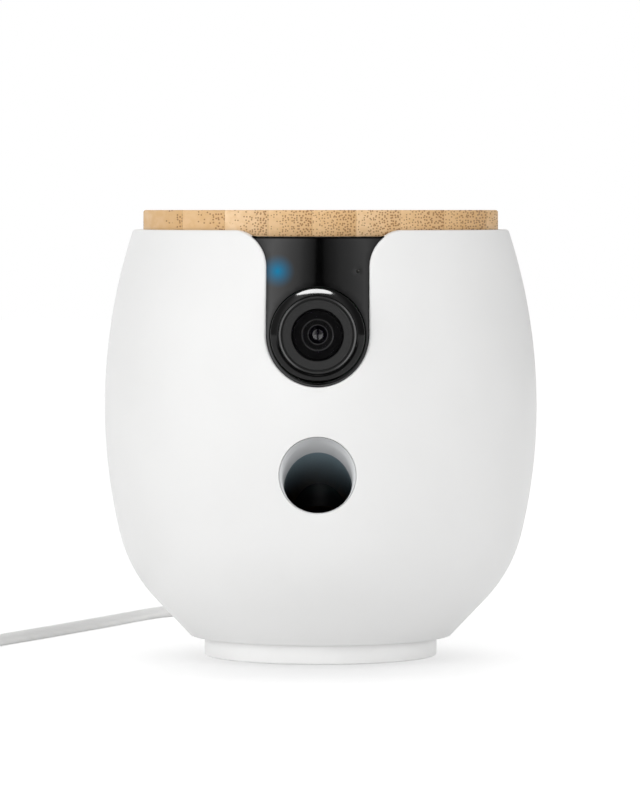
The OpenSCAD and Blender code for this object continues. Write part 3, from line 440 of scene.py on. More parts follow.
# Plug, from the lead to the contact's seat: the neck's rows as (along, radius), and the body's
# as (along, half width, half height, corner)
PLUG_NECK = ((0.0, 1.9), (0.15, 2.15), (0.4, 2.25), (5.4, 3.42), (5.8, 3.5), (6.05, 3.6))
PLUG_BODY = (
    (6.05, 6.9, 2.9, 1.5), (6.15, 7.4, 3.4, 1.8), (6.45, 7.8, 3.8, 2.0), (6.9, 8.0, 4.0, 2.1),
    (25.1, 8.0, 4.0, 2.1), (25.55, 7.8, 3.8, 2.0), (25.85, 7.4, 3.4, 1.8), (25.95, 6.9, 2.9, 1.5),
    (25.95, 6.15, 2.4, 0.4), (25.8, 6.05, 2.3, 0.35), (24.1, 6.05, 2.3, 0.35),
)
PLUG_TURNS = 64


def plug_row(bm, end, along, wide, high, corner):
    """A rectangle with round corners, standing across the lead."""
    row = []
    for k in range(PLUG_TURNS):
        a = 2 * pi * (k + 0.5) / PLUG_TURNS
        x = copysign(wide - corner, cos(a)) + corner * cos(a)
        z = copysign(high - corner, sin(a)) + corner * sin(a)
        row.append(bm.verts.new(metres(end[0] + x, end[1] + along, end[2] + z)))
    return row


def make_plug():
    bm = bmesh.new()
    end = lead_path[-1]
    rows = [plug_row(bm, end, along, r, r, r) for along, r in PLUG_NECK]
    rows += [plug_row(bm, end, *sizes) for sizes in PLUG_BODY]
    quads(bm, rows, closed=True)
    bm.faces.new(rows[0])
    bm.faces.new(rows[-1])
    return piece("plug_grip", bm, "base", ["plug_body"])


tie = make_tie()
plug = make_plug()


# Outer shell: turned, with a patch for the front's openings and one for the back's. Columns are
# COLUMN degrees wide, and a patch has so many on each side of its middle
COLUMN = 2
FRONT_COLS = 25
BACK_COLS = 15
RIM_ROUND = 0.6
HOLE_ROUND = 0.12
BUTTON_ROUND = 0.4
GRILLE_ROUND = 0.25
BASE_ROOM = 1.0
LOW_ROWS = [BOTTOM_Z, 6.7, 7.8, LIP_Z - 0.05, LIP_Z + 0.05] + [10.5 + 1.5 * k for k in range(17)]
PATCH_LOW = 36.0
PATCH_HIGH = 100.0
ROWS = LOW_ROWS + [PATCH_LOW + 2 * k for k in range(41)] + [RIM_Z - RIM_ROUND]
LOW_ROW = ROWS.index(PATCH_LOW)
HIGH_ROW = ROWS.index(PATCH_HIGH)
TOP_ROW = len(ROWS) - 1


def shell_point(z, turn, inset):
    """A point of the shell, whose inside has a straight lip round the base."""
    lip = inset == WALL and z < LIP_Z
    return up_axis(BASE_R + BASE_ROOM if lip else side_r(z, inset), turn, z)


def on_front(x, z, inset):
    return shell_point(z, asin(x / side_r(z)), inset)


def on_back(x, z, inset):
    return shell_point(z, pi - asin(x / side_r(z)), inset)


def column_turn(i):
    return radians(COLUMN * i)


def rim_place(i):
    """The place of a point on the shell's upper rim."""
    return lambda e: (side_r(RIM_Z - e) * sin(column_turn(i)), RIM_Z - e)


def grid_place(i, j):
    return (side_r(ROWS[j]) * sin(column_turn(i)), ROWS[j])


def goes_on(i, j):
    """A point of the patch's edge, where the skin goes on."""
    place = grid_place(i, j)
    return (lambda e: place, None)


def front_outline():
    side = FRONT_COLS
    corner = window_edge(0.0, RIM_Z)
    first = ceil(degrees(asin(corner[0][0] / side_r(RIM_Z))) / COLUMN) + 1
    loop = [goes_on(i, LOW_ROW) for i in range(-side, side + 1)]
    loop += [goes_on(side, j) for j in range(LOW_ROW + 1, TOP_ROW)]
    loop += [(rim_place(i), RIM_ROUND) for i in range(side, first - 1, -1)]
    loop += [(moved(*edge), RIM_ROUND) for edge in corner]
    loop += [(rim_place(i), RIM_ROUND) for i in range(-first, -side - 1, -1)]
    loop += [goes_on(-side, j) for j in range(TOP_ROW - 1, LOW_ROW, -1)]
    return loop


def back_outline():
    side = BACK_COLS
    loop = [goes_on(i, LOW_ROW) for i in range(-side, side + 1)]
    loop += [goes_on(side, j) for j in range(LOW_ROW + 1, HIGH_ROW + 1)]
    loop += [goes_on(i, HIGH_ROW) for i in range(side - 1, -side - 1, -1)]
    loop += [goes_on(-side, j) for j in range(HIGH_ROW - 1, LOW_ROW, -1)]
    return loop


def grille_holes():
    """The middles of the speaker's holes: one, and two rings round it."""
    holes = [(0.0, GRILLE_Z)]
    for ring in (1, 2):
        r = ring * GRILLE_STEP
        for a in turns(6 * ring):
            holes.append((r * cos(a), GRILLE_Z + r * sin(a)))
    return holes


def patch_points(side, top):
    return [grid_place(i, j) for i in range(1 - side, side) for j in range(LOW_ROW + 1, top)]


def make_shell():
    bm = bmesh.new()
    half = 180 // COLUMN
    outer, inner = {}, {}
    for i in range(-half, half):
        for j, z in enumerate(ROWS):
            outer[i, j] = bm.verts.new(shell_point(z, column_turn(i), 0.0))
            inner[i, j] = bm.verts.new(shell_point(z, column_turn(i), WALL))
    for i in range(-half, half):
        n = i + 1 if i + 1 < half else -half
        front = -FRONT_COLS <= i < FRONT_COLS
        back = i >= half - BACK_COLS or i < BACK_COLS - half
        for j in range(TOP_ROW):
            if (front and j >= LOW_ROW) or (back and LOW_ROW <= j < HIGH_ROW):
                continue
            bm.faces.new((outer[i, j], outer[n, j], outer[n, j + 1], outer[i, j + 1]))
            bm.faces.new((inner[i, j], inner[i, j + 1], inner[n, j + 1], inner[n, j]))
        bm.faces.new((outer[i, 0], inner[i, 0], inner[n, 0], outer[n, 0]))
        if not front:
            strips = []
            for c in (i, n):
                at = on_front if abs(c) * COLUMN <= 90 else on_back
                strip = edge_strip(bm, rim_place(c), RIM_ROUND, at, WALL)
                strips.append([outer[c, TOP_ROW]] + strip + [inner[c, TOP_ROW]])
            quads(bm, strips)
    holes = [hole_loop(0.0, HOLE_Z, HOLE_R, count=72, radius=HOLE_ROUND)]
    thick_skin(bm, [front_outline()] + holes, patch_points(FRONT_COLS, TOP_ROW), on_front, WALL)
    holes = [hole_loop(0.0, BUTTON_Z, BUTTON_HOLE_R, count=40, radius=BUTTON_ROUND)]
    for x, z in grille_holes():
        holes.append(hole_loop(x, z, GRILLE_R, count=16, radius=GRILLE_ROUND))
    thick_skin(bm, [back_outline()] + holes, patch_points(BACK_COLS, HIGH_ROW), on_back, WALL)
    return piece("shell_side", bm, "turret", ["outer_shell"])


shell = make_shell()


# Lens window
WINDOW_GAP = 0.06
WINDOW_ROUND = 0.3
LEDGE_STEPS = 24
LEDGE_ROUND = 0.08
LEDGE_SHADE_BAND = 0.1
HOOD_HOLE_ROUND = 0.2
MIC_ROUND = 0.1
GRID_STEP = 1.2
GRID_X, GRID_COLS = -18, 31
GRID_Z, GRID_ROWS = 76, 35


def on_side(x, z, inset):
    """A point seen from the front, on the shell's side or on a face inset from it."""
    r = side_r(z, inset)
    return metres(x, -sqrt(r * r - x * x), z)


def on_panel(x, z, inset):
    return on_side(x, z, PANEL_INSET + inset)


def make_window():
    bm = bmesh.new()
    top = LID_BOTTOM - WINDOW_GAP
    edge = window_edge(FIT_GAP, top)
    loop = [(moved(x, z, -nx, -nz), WINDOW_ROUND) for x, z, nx, nz in edge]
    wide = edge[0][0]
    for k in range(1, LEDGE_STEPS):
        loop.append((moved(-wide + 2 * wide * k / LEDGE_STEPS, top, 0.0, -1.0), LEDGE_ROUND))
    holes = [
        hole_loop(0.0, LENS_Z, HOOD_R + FIT_GAP, count=96, radius=HOOD_HOLE_ROUND),
        hole_loop(*MIC_AT, MIC_R - MIC_ROUND, count=16, radius=MIC_ROUND),
    ]
    points = [
        (GRID_X + GRID_STEP * i, GRID_Z + GRID_STEP * j)
        for i in range(GRID_COLS) for j in range(GRID_ROWS)
    ]
    thick_skin(bm, [loop] + holes, points, on_panel, PANEL_T)
    made = piece("window_glass", bm, "turret", ["window_panel"])
    # The faces along the top get the matt black ledge look: painted shade under the lid
    for face in made.data.polygons:
        face.material_index = int(face.center.z > (top - LEDGE_SHADE_BAND) * MM)
    return made


window = make_window()


# Lens hood: a small arc at its edge runs on into the wide arc of its face
LENS_TURNS = 112
LENS_AXIS = front_axis(0.0, LENS_Z)
HOOD_SIDE = (HOOD_BACK, 54.0, 57.6)
HOOD_EDGE_ARC = 0.72
HOOD_EDGE_AT = 58.353
HOOD_FACE_ARC = 8.3
HOOD_FACE_AT = (7.45, 52.21)
HOOD_MEET = 54.2
HOOD_END = 66.95
# Rows of its bore, as (outwards, along)
HOOD_BORE = ((0.06, HOOD_FRONT - 0.2), (0.0, HOOD_FRONT - 0.34), (0.0, 56.0), (0.0, HOOD_BACK))


def make_hood():
    profile = [(HOOD_R, along) for along in HOOD_SIDE]
    profile += bend(HOOD_R - HOOD_EDGE_ARC, HOOD_EDGE_AT, HOOD_EDGE_ARC, 0, HOOD_MEET, 6)
    profile += bend(*HOOD_FACE_AT, HOOD_FACE_ARC, HOOD_MEET, HOOD_END, 12)[1:]
    profile += [(BARREL_R + FIT_GAP + out, along) for out, along in HOOD_BORE]
    profile.append((HOOD_R, HOOD_BACK))
    return turned("hood_ring", profile, LENS_AXIS, LENS_TURNS,
                  "turret", ["lens_hood"])


# Lens barrel: a groove at its edge, as (radius, depth), rings down to the glass, and a throat
BARREL_MID = 56.0
BARREL_ROUND = 0.25
BARREL_GROOVE = ((9.75, 0.0), (9.62, 0.1), (9.6, 0.55), (9.4, 0.6), (9.36, 0.2), (9.25, 0.1))
FACE_R = 9.25
FACE_RINGS = 7
FACE_DEPTH = 0.1
FACE_FALL = 0.3
RING_WIDE, RING_DEEP = 0.07, 0.03
LEDGE_DEPTH = 0.4
LIP_HIGH = 0.15
THROAT_STEPS = 6
STEP_WIDE = 0.18


def make_barrel():
    seat = BARREL_FRONT - GLASS_SEAT
    room = GLASS_R + FIT_GAP
    side = BARREL_FRONT - BARREL_ROUND
    profile = [(BARREL_R, BARREL_BACK), (BARREL_R, BARREL_MID), (BARREL_R, side)]
    profile += bend(BARREL_R - BARREL_ROUND, side, BARREL_ROUND, 0, 90, 4)
    profile += [(r, BARREL_FRONT - depth) for r, depth in BARREL_GROOVE]
    for k in range(FACE_RINGS):
        wide = FACE_R - (FACE_R - room) * (k + 0.5) / FACE_RINGS
        front = BARREL_FRONT - (FACE_DEPTH + FACE_FALL * (k + 0.5) / FACE_RINGS)
        profile += [(wide + RING_WIDE, front - RING_DEEP), (wide, front)]
    profile += [(room + 0.04, BARREL_FRONT - 0.42), (room, BARREL_FRONT - 0.5), (room, seat)]
    ledge = seat - LEDGE_DEPTH
    profile += [(6.6, seat), (6.5, ledge)]
    profile += [(THROAT_R + 0.3, ledge), (THROAT_R + 0.2, ledge + LIP_HIGH)]
    profile += [(THROAT_R, ledge + LIP_HIGH), (THROAT_R, ledge)]
    throat = INNER_R + FIT_GAP
    for k in range(THROAT_STEPS):
        r = THROAT_R - (THROAT_R - throat - 0.1) * (k + 1) / THROAT_STEPS
        back = ledge - (THROAT_LEN - LEDGE_DEPTH) * (k + 1) / THROAT_STEPS
        profile += [(r + STEP_WIDE, back), (r, back)]
    profile += [(throat, seat - THROAT_LEN), (throat, INNER_BACK - 0.6), (throat, BARREL_BACK)]
    profile.append((BARREL_R, BARREL_BACK))
    return turned("barrel_rings", profile, LENS_AXIS, LENS_TURNS,
                  "turret", ["lens_barrel"])


# Lenses: bulged discs, and the radii of their rows
MASK_R = 4.4
GLASS_EDGE = 0.1
GLASS_BULGE = 0.9
GLASS_RADII = (6.7, 6.2, 5.6, 5.0, MASK_R, 3.6, 2.7, 1.8, 0.9, 0.0)
PUPIL_R = 1.44
PUPIL_BALL = 8.9
PUPIL_RADII = (1.4, 1.2, 1.0, 0.8, 0.6, 0.4, 0.2, 0.0)
INNER_TURNS = 64


def cap(ball, high, radii):
    """Profile points of a bulged face, from its edge to its middle."""
    return [(wide, high - ball + sqrt(ball * ball - wide * wide)) for wide in radii]


def disc_back(r, middle, back):
    """Profile points of a lens's flat back, with its edge broken."""
    return [(0.0, back), (middle, back), (r - GLASS_EDGE, back), (r, back + GLASS_EDGE)]


def make_glass():
    """The front glass: clear in the middle, with a black mask behind its rim."""
    high = BARREL_FRONT + GLASS_RISE
    ball = (GLASS_R ** 2 + GLASS_BULGE ** 2) / (2 * GLASS_BULGE)
    profile = disc_back(GLASS_R, MASK_R, BARREL_FRONT - GLASS_SEAT)
    profile += [(GLASS_R, high - GLASS_BULGE)] + cap(ball, high, GLASS_RADII)
    made = turned("glass_dome", profile, LENS_AXIS, LENS_TURNS,
                  "turret", ["front_glass"])
    for face in made.data.polygons:
        far = hypot(face.center.x, face.center.z - LENS_Z * MM)
        face.material_index = int(far > MASK_R * MM)
    return made


def make_inner_lens():
    high = INNER_BACK + INNER_T
    profile = disc_back(INNER_R, INNER_R * 0.5, INNER_BACK)
    profile += [(INNER_R, high - 1.6), (PUPIL_R + 0.08, high - 0.25), (PUPIL_R, high - 0.14)]
    profile += cap(PUPIL_BALL, high, PUPIL_RADII)
    return turned("inner_dome", profile, LENS_AXIS, INNER_TURNS,
                  "turret", ["inner_lens"])


# Status light: a small rod with a round front
LED_DOME = 50.2
LED_TURNS = 32


def make_led():
    profile = [(0.0, BARREL_BACK), (LED_R * 0.6, BARREL_BACK)]
    profile += [(LED_R, BARREL_BACK), (LED_R, LED_DOME)]
    profile += bend(0.0, LED_DOME, LED_R, 0, 90, 8)[1:-1] + [(0.0, LED_DOME + LED_R)]
    return turned("status_light", profile, front_axis(*LED_AT), LED_TURNS,
                  "turret", ["status_led"])


# Outlet: the mouth flares from the slanted bore to the shell's round hole
TUBE_R = 9.2
TUBE_OUT_R = 10.2
TUBE_TILT = radians(25)
MOUTH_Y = 59.144
NOZZLE_BACK = 49.64
NOZZLE_NECK = 52.5
MOUTH_TURNS = turns(96)
# Rows of the mouth's edge, as (in from the hole, inset from the shell's side)
MOUTH_EDGE = ((0.0, 2.4), (0.0, 0.5), (0.06, 0.42), (0.16, 0.44))
MOUTH_STEPS = 7
MOUTH_FRONT = 58.6
MOUTH_STEP = 0.42
INSET_STEP = 0.3
BORE_ROWS = (55.4, 54.0, NOZZLE_NECK, 51.0, NOZZLE_BACK)


def mouth_ring(bm, r, inset):
    """A ring that follows the shell's side."""
    ring = [(r * cos(a), HOLE_Z + r * sin(a)) for a in MOUTH_TURNS]
    return [bm.verts.new(on_side(x, z, inset)) for x, z in ring]


def bore_ring(bm, r, along, blend=0.0, wide=0.0, inset=0.0):
    """A ring of the slanted bore at one depth, blended with a ring on the shell's side."""
    ring = []
    centre = HOLE_Z - (MOUTH_Y - along) * tan(TUBE_TILT)
    for a in MOUTH_TURNS:
        z = centre + r / cos(TUBE_TILT) * sin(a)
        bore = Vector((r * cos(a), -along, z)) * MM
        if blend:
            face = Vector(on_side(wide * cos(a), HOLE_Z + wide * sin(a), inset))
            bore = bore.lerp(face, blend)
        ring.append(bm.verts.new(bore))
    return ring


def make_nozzle():
    bm = bmesh.new()
    edge = HOLE_R - FIT_GAP
    rows = [bore_ring(bm, TUBE_OUT_R, along) for along in (NOZZLE_BACK, NOZZLE_NECK)]
    rows += [mouth_ring(bm, edge - trim, inset) for trim, inset in MOUTH_EDGE]
    trim, inset = MOUTH_EDGE[-1]
    for k in range(1, MOUTH_STEPS):
        along = MOUTH_FRONT - MOUTH_STEP * k
        blend = (1 - k / MOUTH_STEPS) ** 2
        rows.append(bore_ring(bm, TUBE_R, along, blend, edge - trim, inset + INSET_STEP * k))
    rows += [bore_ring(bm, TUBE_R, along) for along in BORE_ROWS]
    rows.append(rows[0])
    quads(bm, rows, closed=True)
    return piece("outlet_mouth", bm, "turret", ["outlet_nozzle"])


led = make_led()
nozzle = make_nozzle()
hood = make_hood()
barrel = make_barrel()
glass = make_glass()
inner_dome = make_inner_lens()


# Base: its skirt comes nearer to the floor than the solid's does
LATHE_TURNS = 180
SKIRT_GAP = 0.05
SKIRT_BREAK = 0.2
SKIRT_ROUND = 0.45
BASE_ROUND = 0.3
PLATE_MID = 20.0


def make_base():
    inside_r = BASE_R - BASE_WALL
    under = BASE_TOP - BASE_PLATE
    profile = [(inside_r, under), (inside_r, SKIRT_GAP + SKIRT_BREAK)]
    profile.append((inside_r + SKIRT_BREAK, SKIRT_GAP))
    profile += bend(BASE_R - SKIRT_ROUND, SKIRT_GAP + SKIRT_ROUND, SKIRT_ROUND, -90, 0, 6)
    profile += bend(BASE_R - BASE_ROUND, BASE_TOP - BASE_ROUND, BASE_ROUND, 0, 90, 4)
    profile += [(PLATE_MID, BASE_TOP), (SPINDLE_BORE, BASE_TOP)]
    profile += [(SPINDLE_BORE, under), (PLATE_MID, under), (inside_r, under)]
    return turned("base_ring", profile, up_axis, LATHE_TURNS, "base", ["base_shell"])


base = make_base()


# Lid: a disc with its lower edge broken and its upper edge rounded
LID_LOW_ROUND = 0.25
LID_ROUND = 0.7
LID_RINGS = (0.0, 20.0, 40.0)
LID_SIDE = (119.0, 121.0)


def make_lid():
    low, top = LID_LOW_ROUND, LID_ROUND
    profile = [(r, LID_BOTTOM) for r in LID_RINGS]
    profile += bend(LID_R - low, LID_BOTTOM + low, low, -90, 0, 5)
    profile += [(LID_R, z) for z in LID_SIDE]
    profile += bend(LID_R - top, LID_TOP - top, top, 0, 90, 6)
    profile += [(r, LID_TOP) for r in reversed(LID_RINGS)]
    return turned("lid_board", profile, up_axis, LATHE_TURNS, "lid", ["lid_disc"])


lid = make_lid()


# Materials
FINE = (0.25, 0.75)
SOFT = (0.3, 0.7)
GRAIN_DEPTH = 0.00004
LINE_DEPTH = 0.00003
FIBRE_DEPTH = 0.00006
WHITE = (1.0, 1.0, 1.0)


def grey(tone):
    return (tone, tone, tone)


def shade(color, by):
    return tuple(min(c * by, 1.0) for c in color)


class Shading:
    """A node tree, and the steps that a look is put together from."""

    def __init__(self, tree):
        self.tree = tree

    def add(self, kind, inputs=None, **settings):
        node = self.tree.nodes.new("ShaderNode" + kind)
        for key, value in settings.items():
            setattr(node, key, value)
        for key, value in (inputs or {}).items():
            self.give(node.inputs[key], value)
        return node

    def give(self, socket, value):
        if isinstance(value, bpy.types.NodeSocket):
            self.tree.links.new(value, socket)
        else:
            socket.default_value = value

    def math(self, operation, a, b=0.0):
        return self.add("Math", {0: a, 1: b}, operation=operation).outputs[0]

    def plus(self, a, b):
        return self.math("ADD", a, b)

    def minus(self, a, b):
        return self.math("SUBTRACT", a, b)

    def times(self, a, b):
        return self.math("MULTIPLY", a, b)

    def ramp(self, value, start, end, low=0.0, high=1.0, kind="SMOOTHSTEP"):
        ends = {"From Min": start, "From Max": end, "To Min": low, "To Max": high}
        node = self.add("MapRange", {"Value": value, **ends}, interpolation_type=kind)
        return node.outputs["Result"]

    def bands(self, value, tones):
        """Greys that go by a value, from stops of (value, tone)."""
        node = self.add("ValToRGB", {"Fac": value})
        stops = node.color_ramp.elements
        stops.remove(stops[1])
        stops[0].position, first = tones[0]
        stops[0].color = (*grey(first), 1.0)
        for at, tone in tones[1:]:
            stops.new(at).color = (*grey(tone), 1.0)
        return node.outputs["Color"]

    def mix(self, share, first, second):
        node = self.add("Mix", data_type="RGBA")
        self.give(node.inputs["Factor"], share)
        for key, value in (("A_Color", first), ("B_Color", second)):
            socket = next(s for s in node.inputs if s.identifier == key)
            self.give(socket, value if isinstance(value, bpy.types.NodeSocket) else (*value, 1.0))
        return next(s for s in node.outputs if s.identifier == "Result_Color")


class Look(Shading):
    """A material round one Principled shader."""

    def __init__(self, name, color, rough, **sockets):
        self.mat = bpy.data.materials.new(name)
        self.mat.use_nodes = True
        super().__init__(self.mat.node_tree)
        self.shader = self.tree.nodes["Principled BSDF"]
        self.set("Base Color", (*color, 1.0))
        self.set("Roughness", rough)
        for socket, value in sockets.items():
            self.set(socket.replace("_", " "), value)
        self.place = self.add("TexCoord").outputs["Object"]

    def set(self, socket, value):
        self.give(self.shader.inputs[socket], value)

    def axes(self):
        return self.add("SeparateXYZ", {"Vector": self.place}).outputs

    def from_axis(self, x, z):
        """Distance from an axis that runs front to back at a place in millimetres."""
        axes = self.axes()
        dx = self.minus(axes["X"], x * MM)
        dz = self.minus(axes["Z"], z * MM)
        return self.math("SQRT", self.plus(self.times(dx, dx), self.times(dz, dz)))

    def noise(self, scale, detail=2, by=(1.0, 1.0, 1.0)):
        place = self.add("Mapping", {"Vector": self.place, "Scale": by}).outputs["Vector"]
        node = self.add("TexNoise", {"Vector": place, "Scale": scale, "Detail": detail})
        return node.outputs["Fac"]

    def bump(self, height, strength, depth):
        node = self.add("Bump", {"Height": height, "Strength": strength, "Distance": depth})
        self.set("Normal", node.outputs["Normal"])

    def paint(self, share, first, second):
        self.set("Base Color", self.mix(share, first, second))

    def gloss(self, value, low, high, span=SOFT):
        self.set("Roughness", self.ramp(value, *span, low, high))

    def grain(self, scale, low, high, strength, depth=GRAIN_DEPTH):
        """A fine spark texture, with a gloss that goes with it."""
        fine = self.noise(scale)
        self.gloss(fine, low, high, FINE)
        self.bump(fine, strength, depth)


def moulded(name, color, rough, spread, patch, grain, bump, **sockets):
    """Moulded plastic or rubber: soft colour drift, uneven gloss and a fine spark texture."""
    look = Look(name, color, rough, **sockets)
    drift = look.ramp(look.noise(patch, 3), *SOFT)
    look.paint(drift, shade(color, 1 - spread), shade(color, 1 + spread))
    look.grain(grain, rough * 0.85, rough * 1.15, bump)
    return look


def metal(name, color, rough, by=(1.0, 1.0, 0.04), lines=5200):
    """Turned or drawn metal with fine lines and light marks."""
    look = Look(name, color, rough, Metallic=1.0)
    line = look.noise(lines, by=by)
    mark = look.ramp(look.noise(260, 3), 0.45, 0.7)
    look.paint(mark, shade(color, 1.05), shade(color, 0.86))
    look.gloss(line, rough * 0.7, rough * 1.35)
    look.bump(line, 0.15, LINE_DEPTH)
    return look


# Bamboo: widths in metres, fibres in a metre
STRIP = 0.0118
STRIP_START = 0.0016
FIBRES = 1320
FIBRE_SWAY = 0.0012
EVEN_X = -0.021
STREAK_BY = (1.0, 0.03, 1.0)
WOOD = (0.74, 0.47, 0.23)
WOOD_WARM = (0.66, 0.41, 0.18)
WOOD_PALE = (0.83, 0.6, 0.37)
WOOD_SIDE = (0.5, 0.28, 0.1)
WOOD_STREAK = (0.6, 0.35, 0.14)
WOOD_FIBRE = (0.27, 0.13, 0.045)
WOOD_JOINT = (0.36, 0.2, 0.08)


def bamboo_look():
    """Strips of bamboo side by side, their fibres running front to back."""
    look = Look("bamboo", WOOD, 0.5, Specular_IOR_Level=0.35)
    axes = look.axes()
    along = look.math("DIVIDE", look.plus(axes["X"], STRIP_START), STRIP)
    index = look.math("FLOOR", along)
    across = look.math("FRACT", along)
    # A tone for each strip, darker towards its right side, with streaks
    wave = look.math("SINE", look.plus(look.times(index, 0.9), 0.8))
    strip = look.mix(look.math("FRACT", look.times(wave, 4.8)), WOOD_WARM, WOOD_PALE)
    strip = look.mix(look.times(across, 0.4), strip, WOOD_SIDE)
    streak = look.noise(620, 3, STREAK_BY)
    wood = look.mix(look.ramp(streak, 0.35, 0.7, 0.0, 0.3), strip, WOOD_STREAK)
    # Fibre ends, thicker and closer towards each strip's right side and the lid's
    sway = look.times(look.noise(24), FIBRE_SWAY)
    pith = look.add("CombineXYZ", {0: look.plus(axes["X"], sway), 1: axes["Z"]}).outputs[0]
    cells = look.add("TexVoronoi", {"Vector": pith, "Scale": FIBRES, "Randomness": 0.8},
                     voronoi_dimensions="2D").outputs
    lot = look.add("SeparateColor", {"Color": cells["Color"]}).outputs["Red"]
    rise = look.times(look.plus(axes["X"], -EVEN_X), 24.0)
    rise = look.math("MINIMUM", look.math("MAXIMUM", rise, -0.5), 0.55)
    share = look.plus(look.times(across, 0.95), rise)
    kept = look.ramp(look.minus(share, lot), -0.04, 0.06)
    size = look.plus(look.times(across, 0.12), 0.25)
    dot = look.ramp(look.minus(size, cells["Distance"]), -0.03, 0.09)
    fibre = look.times(dot, kept)
    wood = look.mix(look.times(fibre, 0.84), wood, WOOD_FIBRE)
    # Glued joints
    joint = look.ramp(look.math("ABSOLUTE", look.minus(across, 0.5)), 0.488, 0.499)
    look.paint(look.times(joint, 0.35), wood, WOOD_JOINT)
    look.gloss(streak, 0.42, 0.6)
    look.bump(look.minus(streak, look.plus(fibre, joint)), 0.25, FIBRE_DEPTH)
    return look


# Painted glow of the status light on the panel: its colour, its reach in metres, and the tint of
# the panel's reflections there
GLOW = (0.0, 0.156, 0.326, 1.0)
PAINTED_GLOW_R = 0.0048
PAINTED_GLOW_TINT = (0.1, 0.65, 0.85)
# Painted shade under the lid: the height of the band along the top without reflections, in metres
PAINTED_SHADE_UNDER_LID = 0.0007


def window_look():
    """Tinted gloss panel, with a painted glow round the status light that lies behind it and
    painted shade under the lid, where its reflections are taken out.
    """
    look = Look("window_black", grey(0.002), 0.07, IOR=1.6, Emission_Color=GLOW)
    # Painted glow: the panel gives off light round the status light behind it, and its reflections
    # are tinted blue there
    near = look.minus(1.0, look.math("DIVIDE", look.from_axis(*LED_AT), PAINTED_GLOW_R))
    glow = look.math("POWER", look.math("MAXIMUM", near, 0.0), 1.5)
    look.set("Emission Strength", glow)
    # Painted shade under the lid: the panel's reflections are taken out along its top
    top = LID_BOTTOM * MM
    under = look.ramp(look.axes()["Z"], top - PAINTED_SHADE_UNDER_LID, top - PAINTED_SHADE_UNDER_LID / 2)
    look.set("Specular Tint", look.mix(under, look.mix(glow, WHITE, PAINTED_GLOW_TINT), grey(0.0)))
    drift = look.ramp(look.noise(160, 3), *SOFT)
    look.paint(drift, (0.0012, 0.0012, 0.0013), (0.0022, 0.0022, 0.0023))
    look.gloss(look.noise(900, 4), 0.05, 0.1, (0.35, 0.75))
    return look


def coated(name, color, first, second, rough, **sockets):
    """Coated glass with a faint cloud of two tones."""
    look = Look(name, color, rough, **sockets)
    look.paint(look.noise(300), first, second)
    return look


# Painted reflection: a dark line down the inner lens's middle, its half width in metres
DARK_REFLECTION_SPAN = (0.0001, 0.0004)


def inner_look():
    """Coated inner lens, with a painted dark reflection in a line down its middle."""
    look = coated("inner_glass", (0.004, 0.004, 0.006), (0.003, 0.003, 0.005),
                  (0.006, 0.005, 0.008), 0.02, IOR=1.95)
    # Painted reflection: the lens's reflections are dimmed in a line down its middle
    dark_reflection = look.ramp(look.math("ABSOLUTE", look.axes()["X"]), *DARK_REFLECTION_SPAN)
    look.set("Specular Tint", look.mix(dark_reflection, grey(0.08), WHITE))
    return look


# The barrel's greys by the distance from the lens's axis, in millimetres
BARREL_TONES = (
    (0.0, 0.004), (2.4, 0.004), (2.6, 0.14), (2.8, 0.006), (3.8, 0.004), (4.1, 0.06),
    # The bright last stop, at 9.95, is a painted highlight on the outer edge
    (4.4, 0.0012), (6.9, 0.0012), (7.1, 0.036), (9.5, 0.036), (9.8, 0.01), (9.95, 0.16),
)


def barrel_look():
    """Matt black rings, blacker inside the glass, with a painted highlight on the outer edge at the
    sides and painted shade on it at the top and bottom.
    """
    look = Look("barrel_black", grey(0.035), 0.55, Specular_IOR_Level=0.06)
    far = look.from_axis(0.0, LENS_Z)
    share = look.math("DIVIDE", far, BARREL_R * MM)
    rings = look.bands(share, [(r / BARREL_R, tone) for r, tone in BARREL_TONES])
    # Painted highlight on the outer edge at the left and right, and painted shade on it at the top
    # and bottom
    highlight_sides = look.ramp(look.math("ABSOLUTE", look.axes()["X"]), 0.003, 0.009, 0.25, 1.0)
    edge = look.times(look.ramp(far, 0.0097, 0.0099), look.minus(1.0, highlight_sides))
    tone = look.mix(edge, rings, grey(0.006))
    dust = look.times(look.noise(1600), 0.25)
    look.paint(dust, tone, grey(0.012))
    look.grain(3000, 0.48, 0.62, 0.1, LINE_DEPTH)
    return look


# Painted shade on the hood's lower inner lip: where its reflections fade out, by radius in metres
# and by height below the lens in millimetres
PAINTED_SHADE_LIP_SPAN = (0.0113, 0.011)
PAINTED_SHADE_LIP_FALL = 4.0


def hood_look():
    """Gloss black, with painted shade on the lower inner lip, where its reflections are dimmed."""
    look = moulded("hood_black", grey(0.002), 0.1, 0.2, 200, 2600, 0.0,
                   Specular_IOR_Level=0.28)
    lip = look.ramp(look.from_axis(0.0, LENS_Z), *PAINTED_SHADE_LIP_SPAN)
    low = look.ramp(look.axes()["Z"], LENS_Z * MM, (LENS_Z - PAINTED_SHADE_LIP_FALL) * MM)
    # Painted shade: reflections dimmed on the lower inner lip
    look.set("Specular Tint", look.mix(look.times(lip, low), WHITE, grey(0.04)))
    return look


def led_look():
    """Blue status light, a little uneven."""
    look = Look("led_blue", (0.02, 0.08, 0.16), 0.12, Emission_Color=(0.016, 0.22, 0.54, 1.0))
    look.set("Emission Strength", look.ramp(look.noise(1400), *SOFT, 0.75, 0.95))
    look.gloss(look.noise(1800), 0.08, 0.2)
    return look


